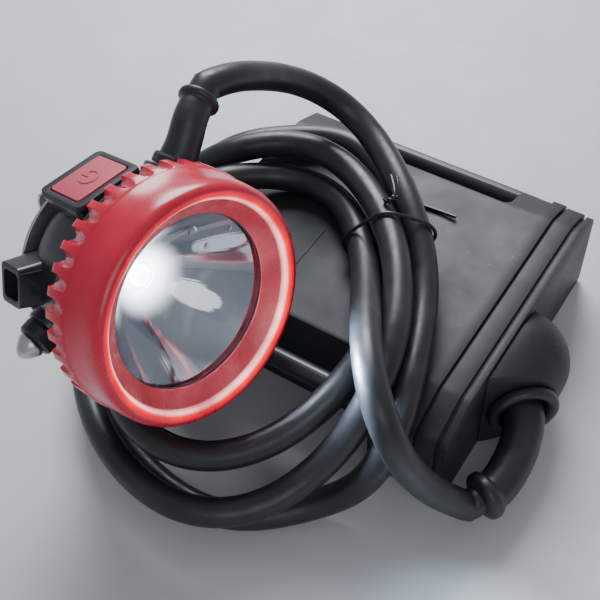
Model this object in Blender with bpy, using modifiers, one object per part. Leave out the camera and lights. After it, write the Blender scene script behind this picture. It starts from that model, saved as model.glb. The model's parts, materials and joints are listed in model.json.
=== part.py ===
"""Miner's cap lamp: belt battery, cable coil and lamp head, as separate named pieces.

Lengths are metres and +Z is up. The origin is the centre of the battery's bottom face,
+X points to the battery's capped end and +Y away from the lamp head.
"""

import itertools
import math

import bmesh
import bpy
import numpy as np
from mathutils import Matrix, Quaternion, Vector

MM = 0.001
GAP = 0.3 * MM

# battery case
CASE_LEFT = -58.8 * MM
CASE_RIGHT = 49.6 * MM
CASE_HALF_WIDTH = 58.1 * MM
TOP_HALF_WIDTH = 42.5 * MM
CASE_HEIGHT = 40.0 * MM
SHOULDER_HEIGHT = 35.2 * MM
CASE_WALL = 2.8 * MM
SLOT_HALF_LENGTH = 32.9 * MM
FLANGE_LENGTH = 4.6 * MM
FLANGE_PROUD = 0.7 * MM
BELT_BAR_D = 7.0 * MM
BELT_BAR_Y = 54.4 * MM
BELT_BAR_Z = 31.6 * MM

# end cap
CAP_START = 50.7 * MM
CAP_GROOVE = 57.0 * MM
CAP_GROOVE_W = 1.4 * MM
CAP_END = 60.6 * MM
GASKET_INSET = 0.6 * MM

# cable outlet on the end cap
HOOD_R = 18.6 * MM
HOOD_Z = 20.0 * MM
HOOD_BACK_Y = 12.0 * MM
HOOD_MOUTH_INNER_Y = -31.0 * MM
HOOD_MOUTH_OUTER_Y = -14.0 * MM

# cable
CABLE_D = 9.8 * MM
BATTERY_BOOT_D = 14.0 * MM
HEAD_BOOT_D = 11.6 * MM
TIE_D = 1.3 * MM
TIE_CENTRE = Vector((10.5, -3.0, 50.0)) * MM
TIE_AXIS = Vector((0.5, -0.866, 0.0))

# lamp head
HEAD_CENTRE = Vector((-16.4, -76.1, 74.3)) * MM
HEAD_AXIS = Vector((0.957, -0.160, 0.239))
BEZEL_TEETH = 36
SWITCH_A = -32.8 * MM
SWITCH_W = 23.8 * MM
SWITCH_L = 21.2 * MM
SWITCH_TOP = 33.2 * MM
BUTTON_W = 19.0 * MM
BUTTON_L = 14.6 * MM
GLAND_ANGLE = math.radians(-46.0)
GLAND_A = -27.8 * MM
PLATE_A = -47.8 * MM
LUG_TURN = math.radians(66.0)
LUG_A = -41.2 * MM
PIN_TURN = math.radians(100.0)
PIN_A = -40.0 * MM

# Colour, roughness and metalness shared by several pieces.
BAR_PLASTIC = ((0.03, 0.032, 0.035), 0.4, 0.0)
PLASTIC = ((0.028, 0.031, 0.035), 0.45)
RUBBER = ((0.015, 0.016, 0.018), 0.55)
STEEL = ((0.6, 0.6, 0.58), 0.3, 1.0)

# Local Z laid along X.
ALONG_X = Matrix(((0, 0, 1, 0), (1, 0, 0, 0), (0, 1, 0, 0), (0, 0, 0, 1)))


def clear_scene():
    for item in list(bpy.data.objects):
        bpy.data.objects.remove(item)


clear_scene()
LAMP = bpy.data.collections.new("miners_cap_lamp")
CUTTERS = bpy.data.collections.new("cutters")
bpy.context.scene.collection.children.link(LAMP)
bpy.context.scene.collection.children.link(CUTTERS)


def material(name, colour, roughness, metallic=0.0):
    found = bpy.data.materials.get(name) or bpy.data.materials.new(name)
    found.use_nodes = True
    shader = found.node_tree.nodes["Principled BSDF"]
    shader.inputs["Base Color"].default_value = (*colour, 1.0)
    shader.inputs["Roughness"].default_value = roughness
    shader.inputs["Metallic"].default_value = metallic
    return found


def add(name, mesh, shade, place=None, smooth=True):
    """Link a mesh as one named piece with a material of its own."""
    piece = bpy.data.objects.new(name, mesh)
    mesh.materials.clear()
    mesh.materials.append(material("mat_" + name, *shade))
    if place is not None:
        mesh.transform(place)
    for face in mesh.polygons:
        face.use_smooth = smooth
    LAMP.objects.link(piece)
    return piece


def evaluated(piece):
    """The mesh of a helper object with its modifiers applied; the helper is removed."""
    LAMP.objects.link(piece)
    bpy.context.view_layer.update()
    graph = bpy.context.evaluated_depsgraph_get()
    mesh = bpy.data.meshes.new_from_object(piece.evaluated_get(graph))
    bpy.data.objects.remove(piece)
    work = bmesh.new()
    work.from_mesh(mesh)
    bmesh.ops.remove_doubles(work, verts=work.verts, dist=1e-6)
    bmesh.ops.dissolve_degenerate(work, edges=work.edges, dist=1e-6)
    bmesh.ops.recalc_face_normals(work, faces=work.faces)
    work.to_mesh(mesh)
    work.free()
    return mesh


def revolve(profile, segments=64):
    """Turn a profile of (radius, height) round local Z; it ends on the axis or closes."""
    mesh = bpy.data.meshes.new("profile")
    points = [(radius, 0.0, height) for radius, height in profile]
    edges = [(i, i + 1) for i in range(len(points) - 1)]
    if min(profile[0][0], profile[-1][0]) > 0.0:
        edges.append((len(points) - 1, 0))
    mesh.from_pydata(points, edges, [])
    piece = bpy.data.objects.new("turned", mesh)
    turn = piece.modifiers.new("turn", "SCREW")
    turn.axis = "Z"
    turn.steps = turn.render_steps = segments
    turn.use_merge_vertices = True
    turn.merge_threshold = 1e-5
    turn.use_smooth_shade = True
    return evaluated(piece)


def disc(radius, low, high, segments=48, edge=0.0):
    """A solid round plate with an eased edge."""
    edge = edge or min(radius, high - low) * 0.12
    profile = [(0.0, high), (radius - edge, high), (radius, high - edge)]
    profile += [(radius, low + edge), (radius - edge, low), (0.0, low)]
    return revolve(profile, segments)


def ring(inner, outer, low, high, segments=64, edge=0.15 * MM):
    profile = [(inner, high), (outer - edge, high), (outer, high - edge)]
    profile += [(outer, low + edge), (outer - edge, low), (inner, low)]
    return revolve(profile, segments)


def prism(outline, low, high, top_scale=1.0):
    """Extrude a flat outline in XY from low to high, optionally narrowing it."""
    curve = bpy.data.curves.new("outline", "CURVE")
    curve.dimensions = "2D"
    curve.fill_mode = "BOTH"
    curve.extrude = (high - low) / 2
    spline = curve.splines.new("POLY")
    spline.points.add(len(outline) - 1)
    spline.use_cyclic_u = True
    for point, (x, y) in zip(spline.points, outline):
        point.co = (x, y, 0.0, 1.0)
    mesh = evaluated(bpy.data.objects.new("outline", curve))
    for vertex in mesh.vertices:
        if vertex.co.z > 0:
            vertex.co.x *= top_scale
            vertex.co.y *= top_scale
        vertex.co.z += (low + high) / 2
    return mesh


def rounded_rectangle(width, length, radius, steps=4):
    corners = ((1, 1, 0), (-1, 1, 90), (-1, -1, 180), (1, -1, 270))
    outline = []
    for sx, sy, start in corners:
        for k in range(steps + 1):
            turn = math.radians(start + 90 * k / steps)
            outline.append(
                (
                    sx * (width / 2 - radius) + radius * math.cos(turn),
                    sy * (length / 2 - radius) + radius * math.sin(turn),
                )
            )
    return outline


def block(size, centre, edge=0.4 * MM, segments=2):
    """A box with bevelled edges."""
    mesh = bpy.data.meshes.new("block")
    work = bmesh.new()
    bmesh.ops.create_cube(work, size=1.0)
    bmesh.ops.scale(work, vec=size, verts=work.verts)
    if edge:
        bmesh.ops.bevel(
            work,
            geom=list(work.edges),
            offset=edge,
            segments=segments,
            profile=0.5,
            affect="EDGES",
        )
    bmesh.ops.translate(work, vec=centre, verts=work.verts)
    work.to_mesh(mesh)
    work.free()
    return mesh


def combine(mesh, others, operation):
    """Cut or merge solids into a mesh and return the result."""
    target = bpy.data.objects.new("target", mesh)
    helpers = []
    for other in others:
        helper = bpy.data.objects.new("helper", other)
        CUTTERS.objects.link(helper)
        helpers.append(helper)
        step = target.modifiers.new("step", "BOOLEAN")
        step.operation = operation
        step.solver = "EXACT"
        step.object = helper
    result = evaluated(target)
    for helper in helpers:
        bpy.data.objects.remove(helper)
    return result


def bevelled(piece, width, segments=2, angle=35.0):
    bevel = piece.modifiers.new("bevel", "BEVEL")
    bevel.width = width
    bevel.segments = segments
    bevel.limit_method = "ANGLE"
    bevel.angle_limit = math.radians(angle)
    return piece


def evenly(points, spacing):
    """Points at equal spacing along a polyline."""
    run = [0.0]
    for a, b in zip(points, points[1:]):
        run.append(run[-1] + (b - a).length)
    wanted = np.linspace(0.0, run[-1], max(2, round(run[-1] / spacing)) + 1)
    axes = [np.interp(wanted, run, [p[k] for p in points]) for k in range(3)]
    return [Vector(p) for p in zip(*axes)]


def smooth_route(points, spacing, passes=0, floor=0.0):
    """Evenly spaced points on a smooth curve through route points, eased like rubber."""
    route = [Vector(p) for p in points]
    route = [route[0] * 2 - route[1], *route, route[-1] * 2 - route[-2]]
    fine = []
    for i in range(1, len(route) - 2):
        p0, p1, p2, p3 = route[i - 1 : i + 3]
        t1 = (p1 - p0).length ** 0.5
        t2 = t1 + (p2 - p1).length ** 0.5
        t3 = t2 + (p3 - p2).length ** 0.5
        for k in range(24):
            t = t1 + (t2 - t1) * k / 24
            a1 = p0.lerp(p1, t / t1)
            a2 = p1.lerp(p2, (t - t1) / (t2 - t1))
            a3 = p2.lerp(p3, (t - t2) / (t3 - t2))
            b1 = a1.lerp(a2, t / t2)
            b2 = a2.lerp(a3, (t - t1) / (t3 - t1))
            fine.append(b1.lerp(b2, (t - t1) / (t2 - t1)))
    fine.append(route[-2])
    fine = np.array([tuple(p) for p in evenly(fine, 2.5 * MM)])
    for _ in range(passes):
        fine[1:-1] = fine[1:-1] / 2 + (fine[:-2] + fine[2:]) / 4
        fine[:, 2] = np.maximum(fine[:, 2], floor)
    return evenly([Vector(p) for p in fine], spacing)


def tube(name, points, diameter, shade, widths=None, cyclic=False, round_steps=3):
    """A round cable through the points, with filled ends; widths scale each point."""
    curve = bpy.data.curves.new(name, "CURVE")
    curve.dimensions = "3D"
    curve.bevel_depth = diameter / 2
    curve.bevel_resolution = round_steps
    curve.use_fill_caps = not cyclic
    curve.twist_mode = "MINIMUM"
    spline = curve.splines.new("POLY")
    spline.points.add(len(points) - 1)
    spline.use_cyclic_u = cyclic
    spline.use_smooth = True
    for k, point in enumerate(points):
        spline.points[k].co = (*point, 1.0)
        spline.points[k].radius = widths[k] if widths else 1.0
    curve.materials.append(material("mat_" + name, *shade))
    piece = bpy.data.objects.new(name, curve)
    LAMP.objects.link(piece)
    return piece


def turned(axis, origin):
    """A matrix that puts local Z along an axis at an origin."""
    spin = Vector((0.0, 0.0, 1.0)).rotation_difference(Vector(axis).normalized())
    return Matrix.Translation(Vector(origin)) @ spin.to_matrix().to_4x4()


# ---------------------------------------------------------------- battery

def end_section(grow=0.0, base=1.6 * MM):
    """The battery's outline seen along X: flat top, sloped shoulders, eased base."""
    half, top = CASE_HALF_WIDTH + grow, CASE_HEIGHT + grow
    side = [
        (half - base, 0.0 - min(grow, 0.0)),
        (half, base),
        (half, SHOULDER_HEIGHT - 4.2 * MM + grow),
        (half - 0.9 * MM, SHOULDER_HEIGHT - 1.7 * MM + grow),
        (half - 3.2 * MM, SHOULDER_HEIGHT + 0.2 * MM + grow),
        (TOP_HALF_WIDTH + 1.0 * MM, top - 0.3 * MM),
        (TOP_HALF_WIDTH - 1.0 * MM, top),
    ]
    return side + [(-y, z) for y, z in reversed(side)]


def slab_along_x(outline, start, end):
    mesh = prism(outline, start, end)
    mesh.transform(ALONG_X)
    return mesh


def battery():
    body = slab_along_x(end_section(), CASE_LEFT, CASE_RIGHT)
    flange = slab_along_x(
        end_section(FLANGE_PROUD), CASE_RIGHT - FLANGE_LENGTH, CASE_RIGHT
    )
    body = combine(body, [flange], "UNION")
    slot_width = CASE_HALF_WIDTH - TOP_HALF_WIDTH + 10 * MM
    cutters = []
    for side in (-1, 1):
        outline = rounded_rectangle(2 * SLOT_HALF_LENGTH, 2 * slot_width, 3 * MM)
        slot = prism(outline, -10 * MM, 60 * MM)
        slot.transform(
            Matrix.Translation((0.0, side * (TOP_HALF_WIDTH + slot_width), 0.0))
        )
        cutters.append(slot)
    inside = slab_along_x(
        [
            (y * (TOP_HALF_WIDTH - CASE_WALL) / TOP_HALF_WIDTH, z)
            for y, z in (
                (-TOP_HALF_WIDTH, CASE_WALL),
                (TOP_HALF_WIDTH, CASE_WALL),
                (TOP_HALF_WIDTH, CASE_HEIGHT - CASE_WALL),
                (-TOP_HALF_WIDTH, CASE_HEIGHT - CASE_WALL),
            )
        ],
        CASE_LEFT + CASE_WALL,
        CASE_RIGHT + 5 * MM,
    )
    bores = []
    for side in (-1, 1):
        bore = disc(
            BELT_BAR_D / 2 + GAP,
            -(SLOT_HALF_LENGTH + 7 * MM),
            SLOT_HALF_LENGTH + 7 * MM,
            24,
        )
        bore.transform(ALONG_X)
        bore.transform(Matrix.Translation((0.0, side * BELT_BAR_Y, BELT_BAR_Z)))
        bores.append(bore)
    body = combine(body, [*cutters, inside, *bores], "DIFFERENCE")
    bevelled(add("battery_case", body, PLASTIC, smooth=False), 0.5 * MM, 1)

    for side, name in ((-1, "near"), (1, "far")):
        bar = disc(
            BELT_BAR_D / 2,
            -(SLOT_HALF_LENGTH + 6.7 * MM),
            SLOT_HALF_LENGTH + 6.7 * MM,
            24,
        )
        bar.transform(ALONG_X)
        bar.transform(Matrix.Translation((0.0, side * BELT_BAR_Y, BELT_BAR_Z)))
        add("belt_bar_" + name, bar, BAR_PLASTIC)

    cap_wide = slab_along_x(end_section(0.3 * MM), CAP_START, CAP_GROOVE)
    cap_neck = slab_along_x(
        end_section(-0.9 * MM), CAP_GROOVE - GAP, CAP_GROOVE + CAP_GROOVE_W + GAP
    )
    cap_face = slab_along_x(end_section(0.0), CAP_GROOVE + CAP_GROOVE_W, CAP_END)
    cap = combine(cap_wide, [cap_neck, cap_face], "UNION")
    lead = disc(3.2 * MM, CAP_START - 5 * MM, CAP_END + 5 * MM, 24)
    lead.transform(turned((1, 0, 0), (0.0, -8 * MM, HOOD_Z)))
    cap = combine(cap, [lead], "DIFFERENCE")
    add("battery_cap", cap, PLASTIC, smooth=False)

    outer = end_section(-GASKET_INSET)
    gasket = slab_along_x(outer, CASE_RIGHT + 0.15 * MM, CAP_START - 0.15 * MM)
    hole = slab_along_x(
        [(y * 0.62, 20 * MM + (z - 20 * MM) * 0.84) for y, z in end_section()],
        CASE_RIGHT - 5 * MM,
        CAP_START + 5 * MM,
    )
    gasket = combine(gasket, [hole], "DIFFERENCE")
    add("cap_gasket", gasket, RUBBER, smooth=False)


def screw(head_r, head_h, shank_r, length, place, face):
    """A pan head screw with a cross recess, head top 0.6 mm under the face."""
    top = face - 0.6 * MM
    under = top - head_h + GAP
    profile = [
        (0.0, under - length),
        (shank_r - 0.3 * MM, under - length),
        (shank_r, under - length + 0.4 * MM),
        (shank_r, under),
        (head_r, under),
        (head_r, top - 0.6 * MM),
        (head_r * 0.75, top),
        (0.0, top),
    ]
    body = revolve(profile[::-1], 10)
    slots = []
    for turn in (0.0, math.pi / 2):
        slot = block((head_r * 1.3, 0.7 * MM, 2.0 * MM), (0, 0, top + 0.2 * MM), 0)
        slot.transform(Matrix.Rotation(turn, 4, "Z"))
        slots.append(slot)
    body = combine(body, slots, "DIFFERENCE")
    body.transform(place)
    return body


def battery_inside():
    cell_r, cell_l = 13.0 * MM, 84.0 * MM
    for k in (-1, 0, 1):
        profile = [
            (0.0, 0.0),
            (cell_r - 0.8 * MM, 0.0),
            (cell_r, 0.8 * MM),
            (cell_r, cell_l - 2.6 * MM),
            (cell_r - 0.8 * MM, cell_l - 1.6 * MM),
            (3.6 * MM, cell_l - 1.6 * MM),
            (3.6 * MM, cell_l),
            (0.0, cell_l),
        ]
        cell = revolve(profile[::-1], 16)
        cell.transform(turned((1, 0, 0), (-52.0 * MM, k * 26.3 * MM, HOOD_Z)))
        add(f"battery_cell_{k + 2}", cell, ((0.05, 0.16, 0.3), 0.35))
    for name, z in (("lower", 4.9 * MM), ("upper", 35.1 * MM)):
        pad = block((70 * MM, 76 * MM, 3.4 * MM), (-10 * MM, 0, z), 0.5 * MM)
        add("cell_cushion_" + name, pad, ((0.25, 0.25, 0.25), 0.9))
    for name, x in (("negative", -52.6 * MM), ("positive", 32.6 * MM)):
        strap = block((0.4 * MM, 62 * MM, 6 * MM), (x, 0, HOOD_Z), 0.1 * MM, 1)
        add("cell_strap_" + name, strap, ((0.65, 0.63, 0.58), 0.3, 1.0))
    board = block((1.6 * MM, 60 * MM, 24 * MM), (39.0 * MM, 0, HOOD_Z), 0.2 * MM, 1)
    add("protection_board", board, ((0.02, 0.16, 0.06), 0.5))
    fuse = disc(2.4 * MM, -6 * MM, 6 * MM, 14)
    fuse.transform(turned((0, 1, 0), (43.0 * MM, 14 * MM, HOOD_Z)))
    add("thermal_fuse", fuse, ((0.7, 0.68, 0.6), 0.35))
    plug = block((7 * MM, 12 * MM, 8 * MM), (44.0 * MM, -8 * MM, HOOD_Z), 0.6 * MM)
    add("lead_plug", plug, ((0.75, 0.73, 0.68), 0.5))


# ---------------------------------------------------------------- cable outlet

MOUTH_EDGE = Vector((HOOD_R, HOOD_MOUTH_OUTER_Y - HOOD_MOUTH_INNER_Y, 0.0))
MOUTH_AXIS = Vector((MOUTH_EDGE.y, -MOUTH_EDGE.x, 0.0)).normalized()
MOUTH_CENTRE = Vector(
    (
        CAP_END + 10.2 * MM,
        (HOOD_MOUTH_INNER_Y + HOOD_MOUTH_OUTER_Y) / 2 + 0.8 * MM,
        HOOD_Z - 0.6 * MM,
    )
)


def outlet():
    steps = 7
    body = []
    for k in range(steps + 1):
        turn = math.pi / 2 * k / steps
        body.append((HOOD_R * math.sin(turn), HOOD_R * (1 - math.cos(turn))))
    body.append((HOOD_R, 70 * MM))
    body.append((0.0, 70 * MM))
    dome = revolve(body[::-1], 28)
    dome.transform(turned((0, -1, 0), (CAP_END + GAP, HOOD_BACK_Y, HOOD_Z)))
    half_space = block((60 * MM, 160 * MM, 60 * MM), (CAP_END + GAP - 30 * MM, 0, HOOD_Z), 0)
    slanted = block((80 * MM, 80 * MM, 60 * MM), (0, -40 * MM, 0), 0)
    tilt = math.atan2(MOUTH_EDGE.y, MOUTH_EDGE.x)
    slanted.transform(Matrix.Rotation(tilt, 4, "Z"))
    corner = Vector((CAP_END, HOOD_MOUTH_INNER_Y, HOOD_Z))
    slanted.transform(Matrix.Translation(corner))
    hollow = disc(11.4 * MM, -5 * MM, 30 * MM, 28)
    throat = disc(8.4 * MM, -12 * MM, 0.0, 20)
    throat.transform(turned(MOUTH_AXIS, MOUTH_CENTRE))
    hollow.transform(turned(MOUTH_AXIS, MOUTH_CENTRE))
    lead = disc(3.2 * MM, -30 * MM, 0.0, 16)
    lead.transform(turned((1, 0, 0), (CAP_END + 9 * MM, -8 * MM, HOOD_Z)))
    hood = combine(dome, [half_space, slanted, hollow, throat, lead], "DIFFERENCE")
    bevelled(add("cable_outlet_hood", hood, PLASTIC, smooth=False), 0.5 * MM, 1)
    nut = revolve(
        [
            (7.9 * MM, -2.6 * MM),
            (11.0 * MM, -2.6 * MM),
            (11.0 * MM, 0.4 * MM),
            (11.8 * MM, 0.4 * MM),
            (12.1 * MM, 1.4 * MM),
            (11.9 * MM, 3.0 * MM),
            (11.0 * MM, 3.8 * MM),
            (9.6 * MM, 3.8 * MM),
            (8.4 * MM, 3.0 * MM),
            (7.9 * MM, 1.6 * MM),
        ],
        28,
    )
    add("battery_gland_nut", nut, RUBBER, turned(MOUTH_AXIS, MOUTH_CENTRE))


# ---------------------------------------------------------------- cable and boots

BATTERY_BOOT_ROUTE = [
    (70.9, -21.8, 19.4),
    (73.3, -25.0, 18.7),
    (75.9, -33.0, 15.9),
    (76.6, -41.0, 13.6),
    (75.7, -50.0, 12.1),
    (72.8, -56.4, 11.7),
]
HEAD_BOOT_ROUTE = [
    (-44.0, -43.0, 94.3),
    (-44.2, -39.5, 97.4),
    (-45.2, -33.6, 102.6),
    (-46.5, -26.6, 104.7),
]
CABLE_ROUTE = [
    # from the head, down to the tie
    (-47, -23, 106),
    (-48, -14, 108),
    (-44, -11.5, 103),
    (-46, 7.5, 91),
    (-42.5, 23.5, 79),
    (-37, 32, 70),
    (-28.5, 36.5, 62),
    (-15.5, 30, 58),
    (-1.5, 19, 58),
    (10, 8, 57.5),
    (18.5, 1, 54),
    # past the tie
    (24.5, -5.5, 49),
    (29.5, -14.5, 46.5),
    (34.5, -25.5, 45.5),
    (39, -40, 46),
    # over the battery's near edge to the table
    (43.5, -51, 48),
    (47, -65, 43),
    (46, -73, 28),
    (40.5, -75, 15.5),
    (34, -79, 7.5),
    # first turn, on the table
    (27.5, -80.5, 5),
    (23, -88.5, 5),
    (15, -97, 5),
    (4, -104, 5),
    (-11.5, -105, 5),
    (-31, -101.5, 5),
    (-47.5, -95, 5),
    (-59, -87.5, 5),
    # round behind the head
    (-68, -72, 5),
    (-76, -54, 7),
    (-81, -36, 14),
    (-82, -17, 30),
    (-75, -2, 46),
    # back over the battery
    (-61, -1.5, 55.5),
    (-54.5, 10, 56),
    (-45.5, 17.5, 55.5),
    (-32.5, 21, 55.5),
    (-22.5, 18.5, 55),
    (-11, 12, 55),
    (-0.5, 4.5, 55.5),
    (10.5, -5.5, 58.5),
    # second pass of the tie
    (20, -17.5, 58.5),
    (28, -30, 56),
    (34, -44, 57),
    (37, -54.5, 55.5),
    # second turn, on the first
    (37, -63, 47),
    (34.5, -68.5, 37),
    (30, -76, 26),
    (24.5, -85.5, 18),
    (18.5, -96.5, 15.5),
    (11, -105.5, 15),
    (2.5, -110.5, 15),
    (-9.5, -112.5, 15),
    (-25.5, -110.5, 15),
    (-42.5, -104.5, 15),
    (-58, -94.5, 14.5),
    # round behind the head
    (-73, -80, 14),
    (-86, -59, 13.5),
    (-93, -35, 14),
    (-90, -12, 22),
    (-79, 4, 36),
    # back over the battery
    (-67, 14, 49),
    (-58, 17, 50),
    (-54.5, 26, 45),
    (-49, 31, 45),
    (-43, 36, 45),
    (-35.5, 40, 45),
    (-24, 38, 45),
    (-13, 31, 45),
    (-3, 20, 47),
    # third pass of the tie, underneath
    (8, 1.5, 48),
    (16, -12.5, 45),
    (22, -26, 45.5),
    (25.5, -41, 46.5),
    # third turn, on the second
    (26.5, -57, 46),
    (22.5, -66.5, 39),
    (18, -76, 33),
    (10.5, -85.5, 28.5),
    (2, -94, 26),
    (-7, -100, 25.5),
    (-17.5, -102, 26),
    (-31, -100.5, 27),
    # round behind the head
    (-52, -86, 25.5),
    (-63.5, -71, 26),
    (-72, -53, 27),
    (-75, -36, 32),
    (-71, -21, 45),
    # back over the battery
    (-60.5, -11.5, 53),
    (-49.5, 3.5, 46.5),
    (-43, 10, 45),
    (-34.5, 13.5, 45),
    (-23, 12.5, 45),
    (-12.5, 6.5, 45),
    (-2, -5, 48.5),
    # last pass of the tie, down to the battery
    (5, -13, 49.5),
    (16.5, -32, 56),
    (28.5, -53, 65),
    (39, -69.5, 70),
    (47, -77, 65),
    (53.5, -77, 50),
    (59.5, -69, 26),
    (65.5, -64, 14),
    (71, -60, 11.5),
]


def scaled(points):
    return [Vector(p) * MM for p in points]


def boot_widths(count, start, end, collar):
    """Taper from start to end, with a collar over the last points."""
    widths = [start + (end - start) * k / (count - 1) for k in range(count)]
    widths[-3] = widths[-2] = collar
    widths[-1] = 0.8
    return widths


def cable_run():
    for name, route, diameter in (
        ("battery_boot", BATTERY_BOOT_ROUTE, BATTERY_BOOT_D),
        ("head_boot", HEAD_BOOT_ROUTE, HEAD_BOOT_D),
    ):
        points = smooth_route(scaled(route), 2.6 * MM)
        widths = boot_widths(len(points), 1.0, 0.92, 1.16)
        tube(name, points, diameter, RUBBER, widths)
    floor = CABLE_D / 2 + 0.1 * MM
    run = smooth_route(scaled(CABLE_ROUTE), 2.1 * CABLE_D, 64, floor)
    tube("cable", run, CABLE_D, RUBBER)
    tube("cable_tie", tie_loop(run), TIE_D, RUBBER, cyclic=True, round_steps=1)


def tie_loop(run):
    """A loop drawn tight round the strands that cross the tie's plane."""
    across = TIE_AXIS.cross(Vector((0, 0, 1))).normalized()
    up = across.cross(TIE_AXIS)
    skin = []
    for a, b in zip(run, run[1:]):
        side = (b - a).orthogonal().normalized()
        for step, turn in itertools.product(range(24), range(24)):
            out = Quaternion(b - a, math.pi * turn / 12) @ side
            point = a.lerp(b, step / 24) + out * CABLE_D / 2 - TIE_CENTRE
            if abs(point.dot(TIE_AXIS)) < TIE_D and point.length < 30 * MM:
                skin.append((point.dot(across), point.dot(up)))
    reach = TIE_D / 2 + 0.2 * MM
    loop = []
    for k in range(24):
        c, s = math.cos(math.pi * k / 12), math.sin(math.pi * k / 12)
        x, y = max(skin, key=lambda p: p[0] * c + p[1] * s)
        loop.append(TIE_CENTRE + across * (x + reach * c) + up * (y + reach * s))
    return loop


# ---------------------------------------------------------------- lamp head

FRONT = HEAD_AXIS.normalized()
UP = (Vector((0, 0, 1)) - FRONT * FRONT.z).normalized()
ACROSS = UP.cross(FRONT)
HEAD = Matrix(
    (
        (ACROSS.x, UP.x, FRONT.x, HEAD_CENTRE.x),
        (ACROSS.y, UP.y, FRONT.y, HEAD_CENTRE.y),
        (ACROSS.z, UP.z, FRONT.z, HEAD_CENTRE.z),
        (0, 0, 0, 1),
    )
)


def bezel():
    """The screw-on front ring with a castellated grip round its rear edge."""
    profile = [
        (33.2, 4.4),
        (34.4, 5.4),
        (35.6, 5.8),
        (36.8, 5.4),
        (37.8, 4.3),
        (38.2, 2.6),
        (38.5, -1.0),
        (38.7, -8.4),
        (39.4, -9.4),
        (39.4, -16.6),
        (39.0, -17.6),
        (36.7, -17.6),
        (36.7, -5.1),
        (31.2, -5.1),
        (31.2, -0.8),
        (27.6, -0.8),
        (27.9, -0.3),
    ]
    body = revolve([(r * MM, a * MM) for r, a in profile], 48)
    tail = Vector((37.9, 0.0, -19.5)) * MM
    tip = Vector((42.0, 0.0, -7.5)) * MM
    notches = []
    for k in range(BEZEL_TEETH):
        notch = disc(2.2 * MM, 0.0, (tip - tail).length, 8)
        notch.transform(turned(tip - tail, tail))
        notch.transform(Matrix.Rotation(2 * math.pi * k / BEZEL_TEETH, 4, "Z"))
        notches.append(notch)
    work = bmesh.new()
    for notch in notches:
        work.from_mesh(notch)
    cutter = bpy.data.meshes.new("notches")
    work.to_mesh(cutter)
    work.free()
    body = combine(body, [cutter], "DIFFERENCE")
    add("bezel_ring", body, ((0.55, 0.02, 0.03), 0.3), HEAD)


def optics():
    add("lens_seal", ring(27.4 * MM, 30.9 * MM, -1.9 * MM, -1.1 * MM, 32), RUBBER, HEAD)
    lens = disc(30.8 * MM, -3.6 * MM, -2.2 * MM, 32, 0.3 * MM)
    add("lens", lens, ((0.8, 0.85, 0.88), 0.05), HEAD)
    inner, outer = [], []
    for k in range(7):
        r = 27.2 - (27.2 - 5.0) * k / 6
        a = -26.4 + (r * r - 25.0) / 32.0
        slope = r / 16.0
        length = math.hypot(1.0, slope)
        inner.append((r * MM, a * MM))
        outer.append(((r + 1.1 * slope / length) * MM, (a - 1.1 / length) * MM))
    flange = [(35.8 * MM, -6.6 * MM), (35.8 * MM, -5.4 * MM)]
    profile = inner + outer[::-1][:-1] + [(29.0 * MM, -6.6 * MM), *flange, (28.7 * MM, -5.4 * MM)]
    shell = revolve(profile, 32)
    add("reflector", shell, ((0.9, 0.9, 0.9), 0.08, 1.0), HEAD)
    gasket = ring(33.0 * MM, 35.8 * MM, -7.5 * MM, -6.9 * MM, 32, 0.1 * MM)
    add("bezel_gasket", gasket, RUBBER, HEAD)
    board = disc(10.5 * MM, -29.2 * MM, -27.8 * MM, 20)
    add("led_board", board, ((0.85, 0.85, 0.82), 0.4), HEAD)
    dome = [(0.0, -27.5 * MM), (3.4 * MM, -27.5 * MM), (3.4 * MM, -26.2 * MM)]
    for k in range(1, 7):
        turn = math.pi / 2 * k / 6
        dome.append((2.6 * MM * math.cos(turn), (-26.2 + 2.4 * math.sin(turn)) * MM))
    dome[-1] = (0.0, dome[-1][1])
    add("led_emitter", revolve(dome[::-1], 12), ((0.95, 0.92, 0.6), 0.2), HEAD)
    sink = disc(25.6 * MM, -33.6 * MM, -29.5 * MM, 24, 0.4 * MM)
    add("heat_sink", sink, ((0.7, 0.7, 0.7), 0.35, 1.0), HEAD)
    driver = disc(24.2 * MM, -39.4 * MM, -37.8 * MM, 24, 0.2 * MM)
    add("driver_board", driver, ((0.02, 0.16, 0.06), 0.5), HEAD)
    chip = block((9 * MM, 7 * MM, 2.8 * MM), (8 * MM, -9 * MM, -36.1 * MM), 0.3 * MM)
    add("driver_chip", chip, ((0.1, 0.1, 0.1), 0.5), HEAD)
    coil = disc(4.0 * MM, -37.5 * MM, -34.2 * MM, 14)
    add("driver_coil", coil, ((0.1, 0.1, 0.1), 0.5), HEAD)


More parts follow.
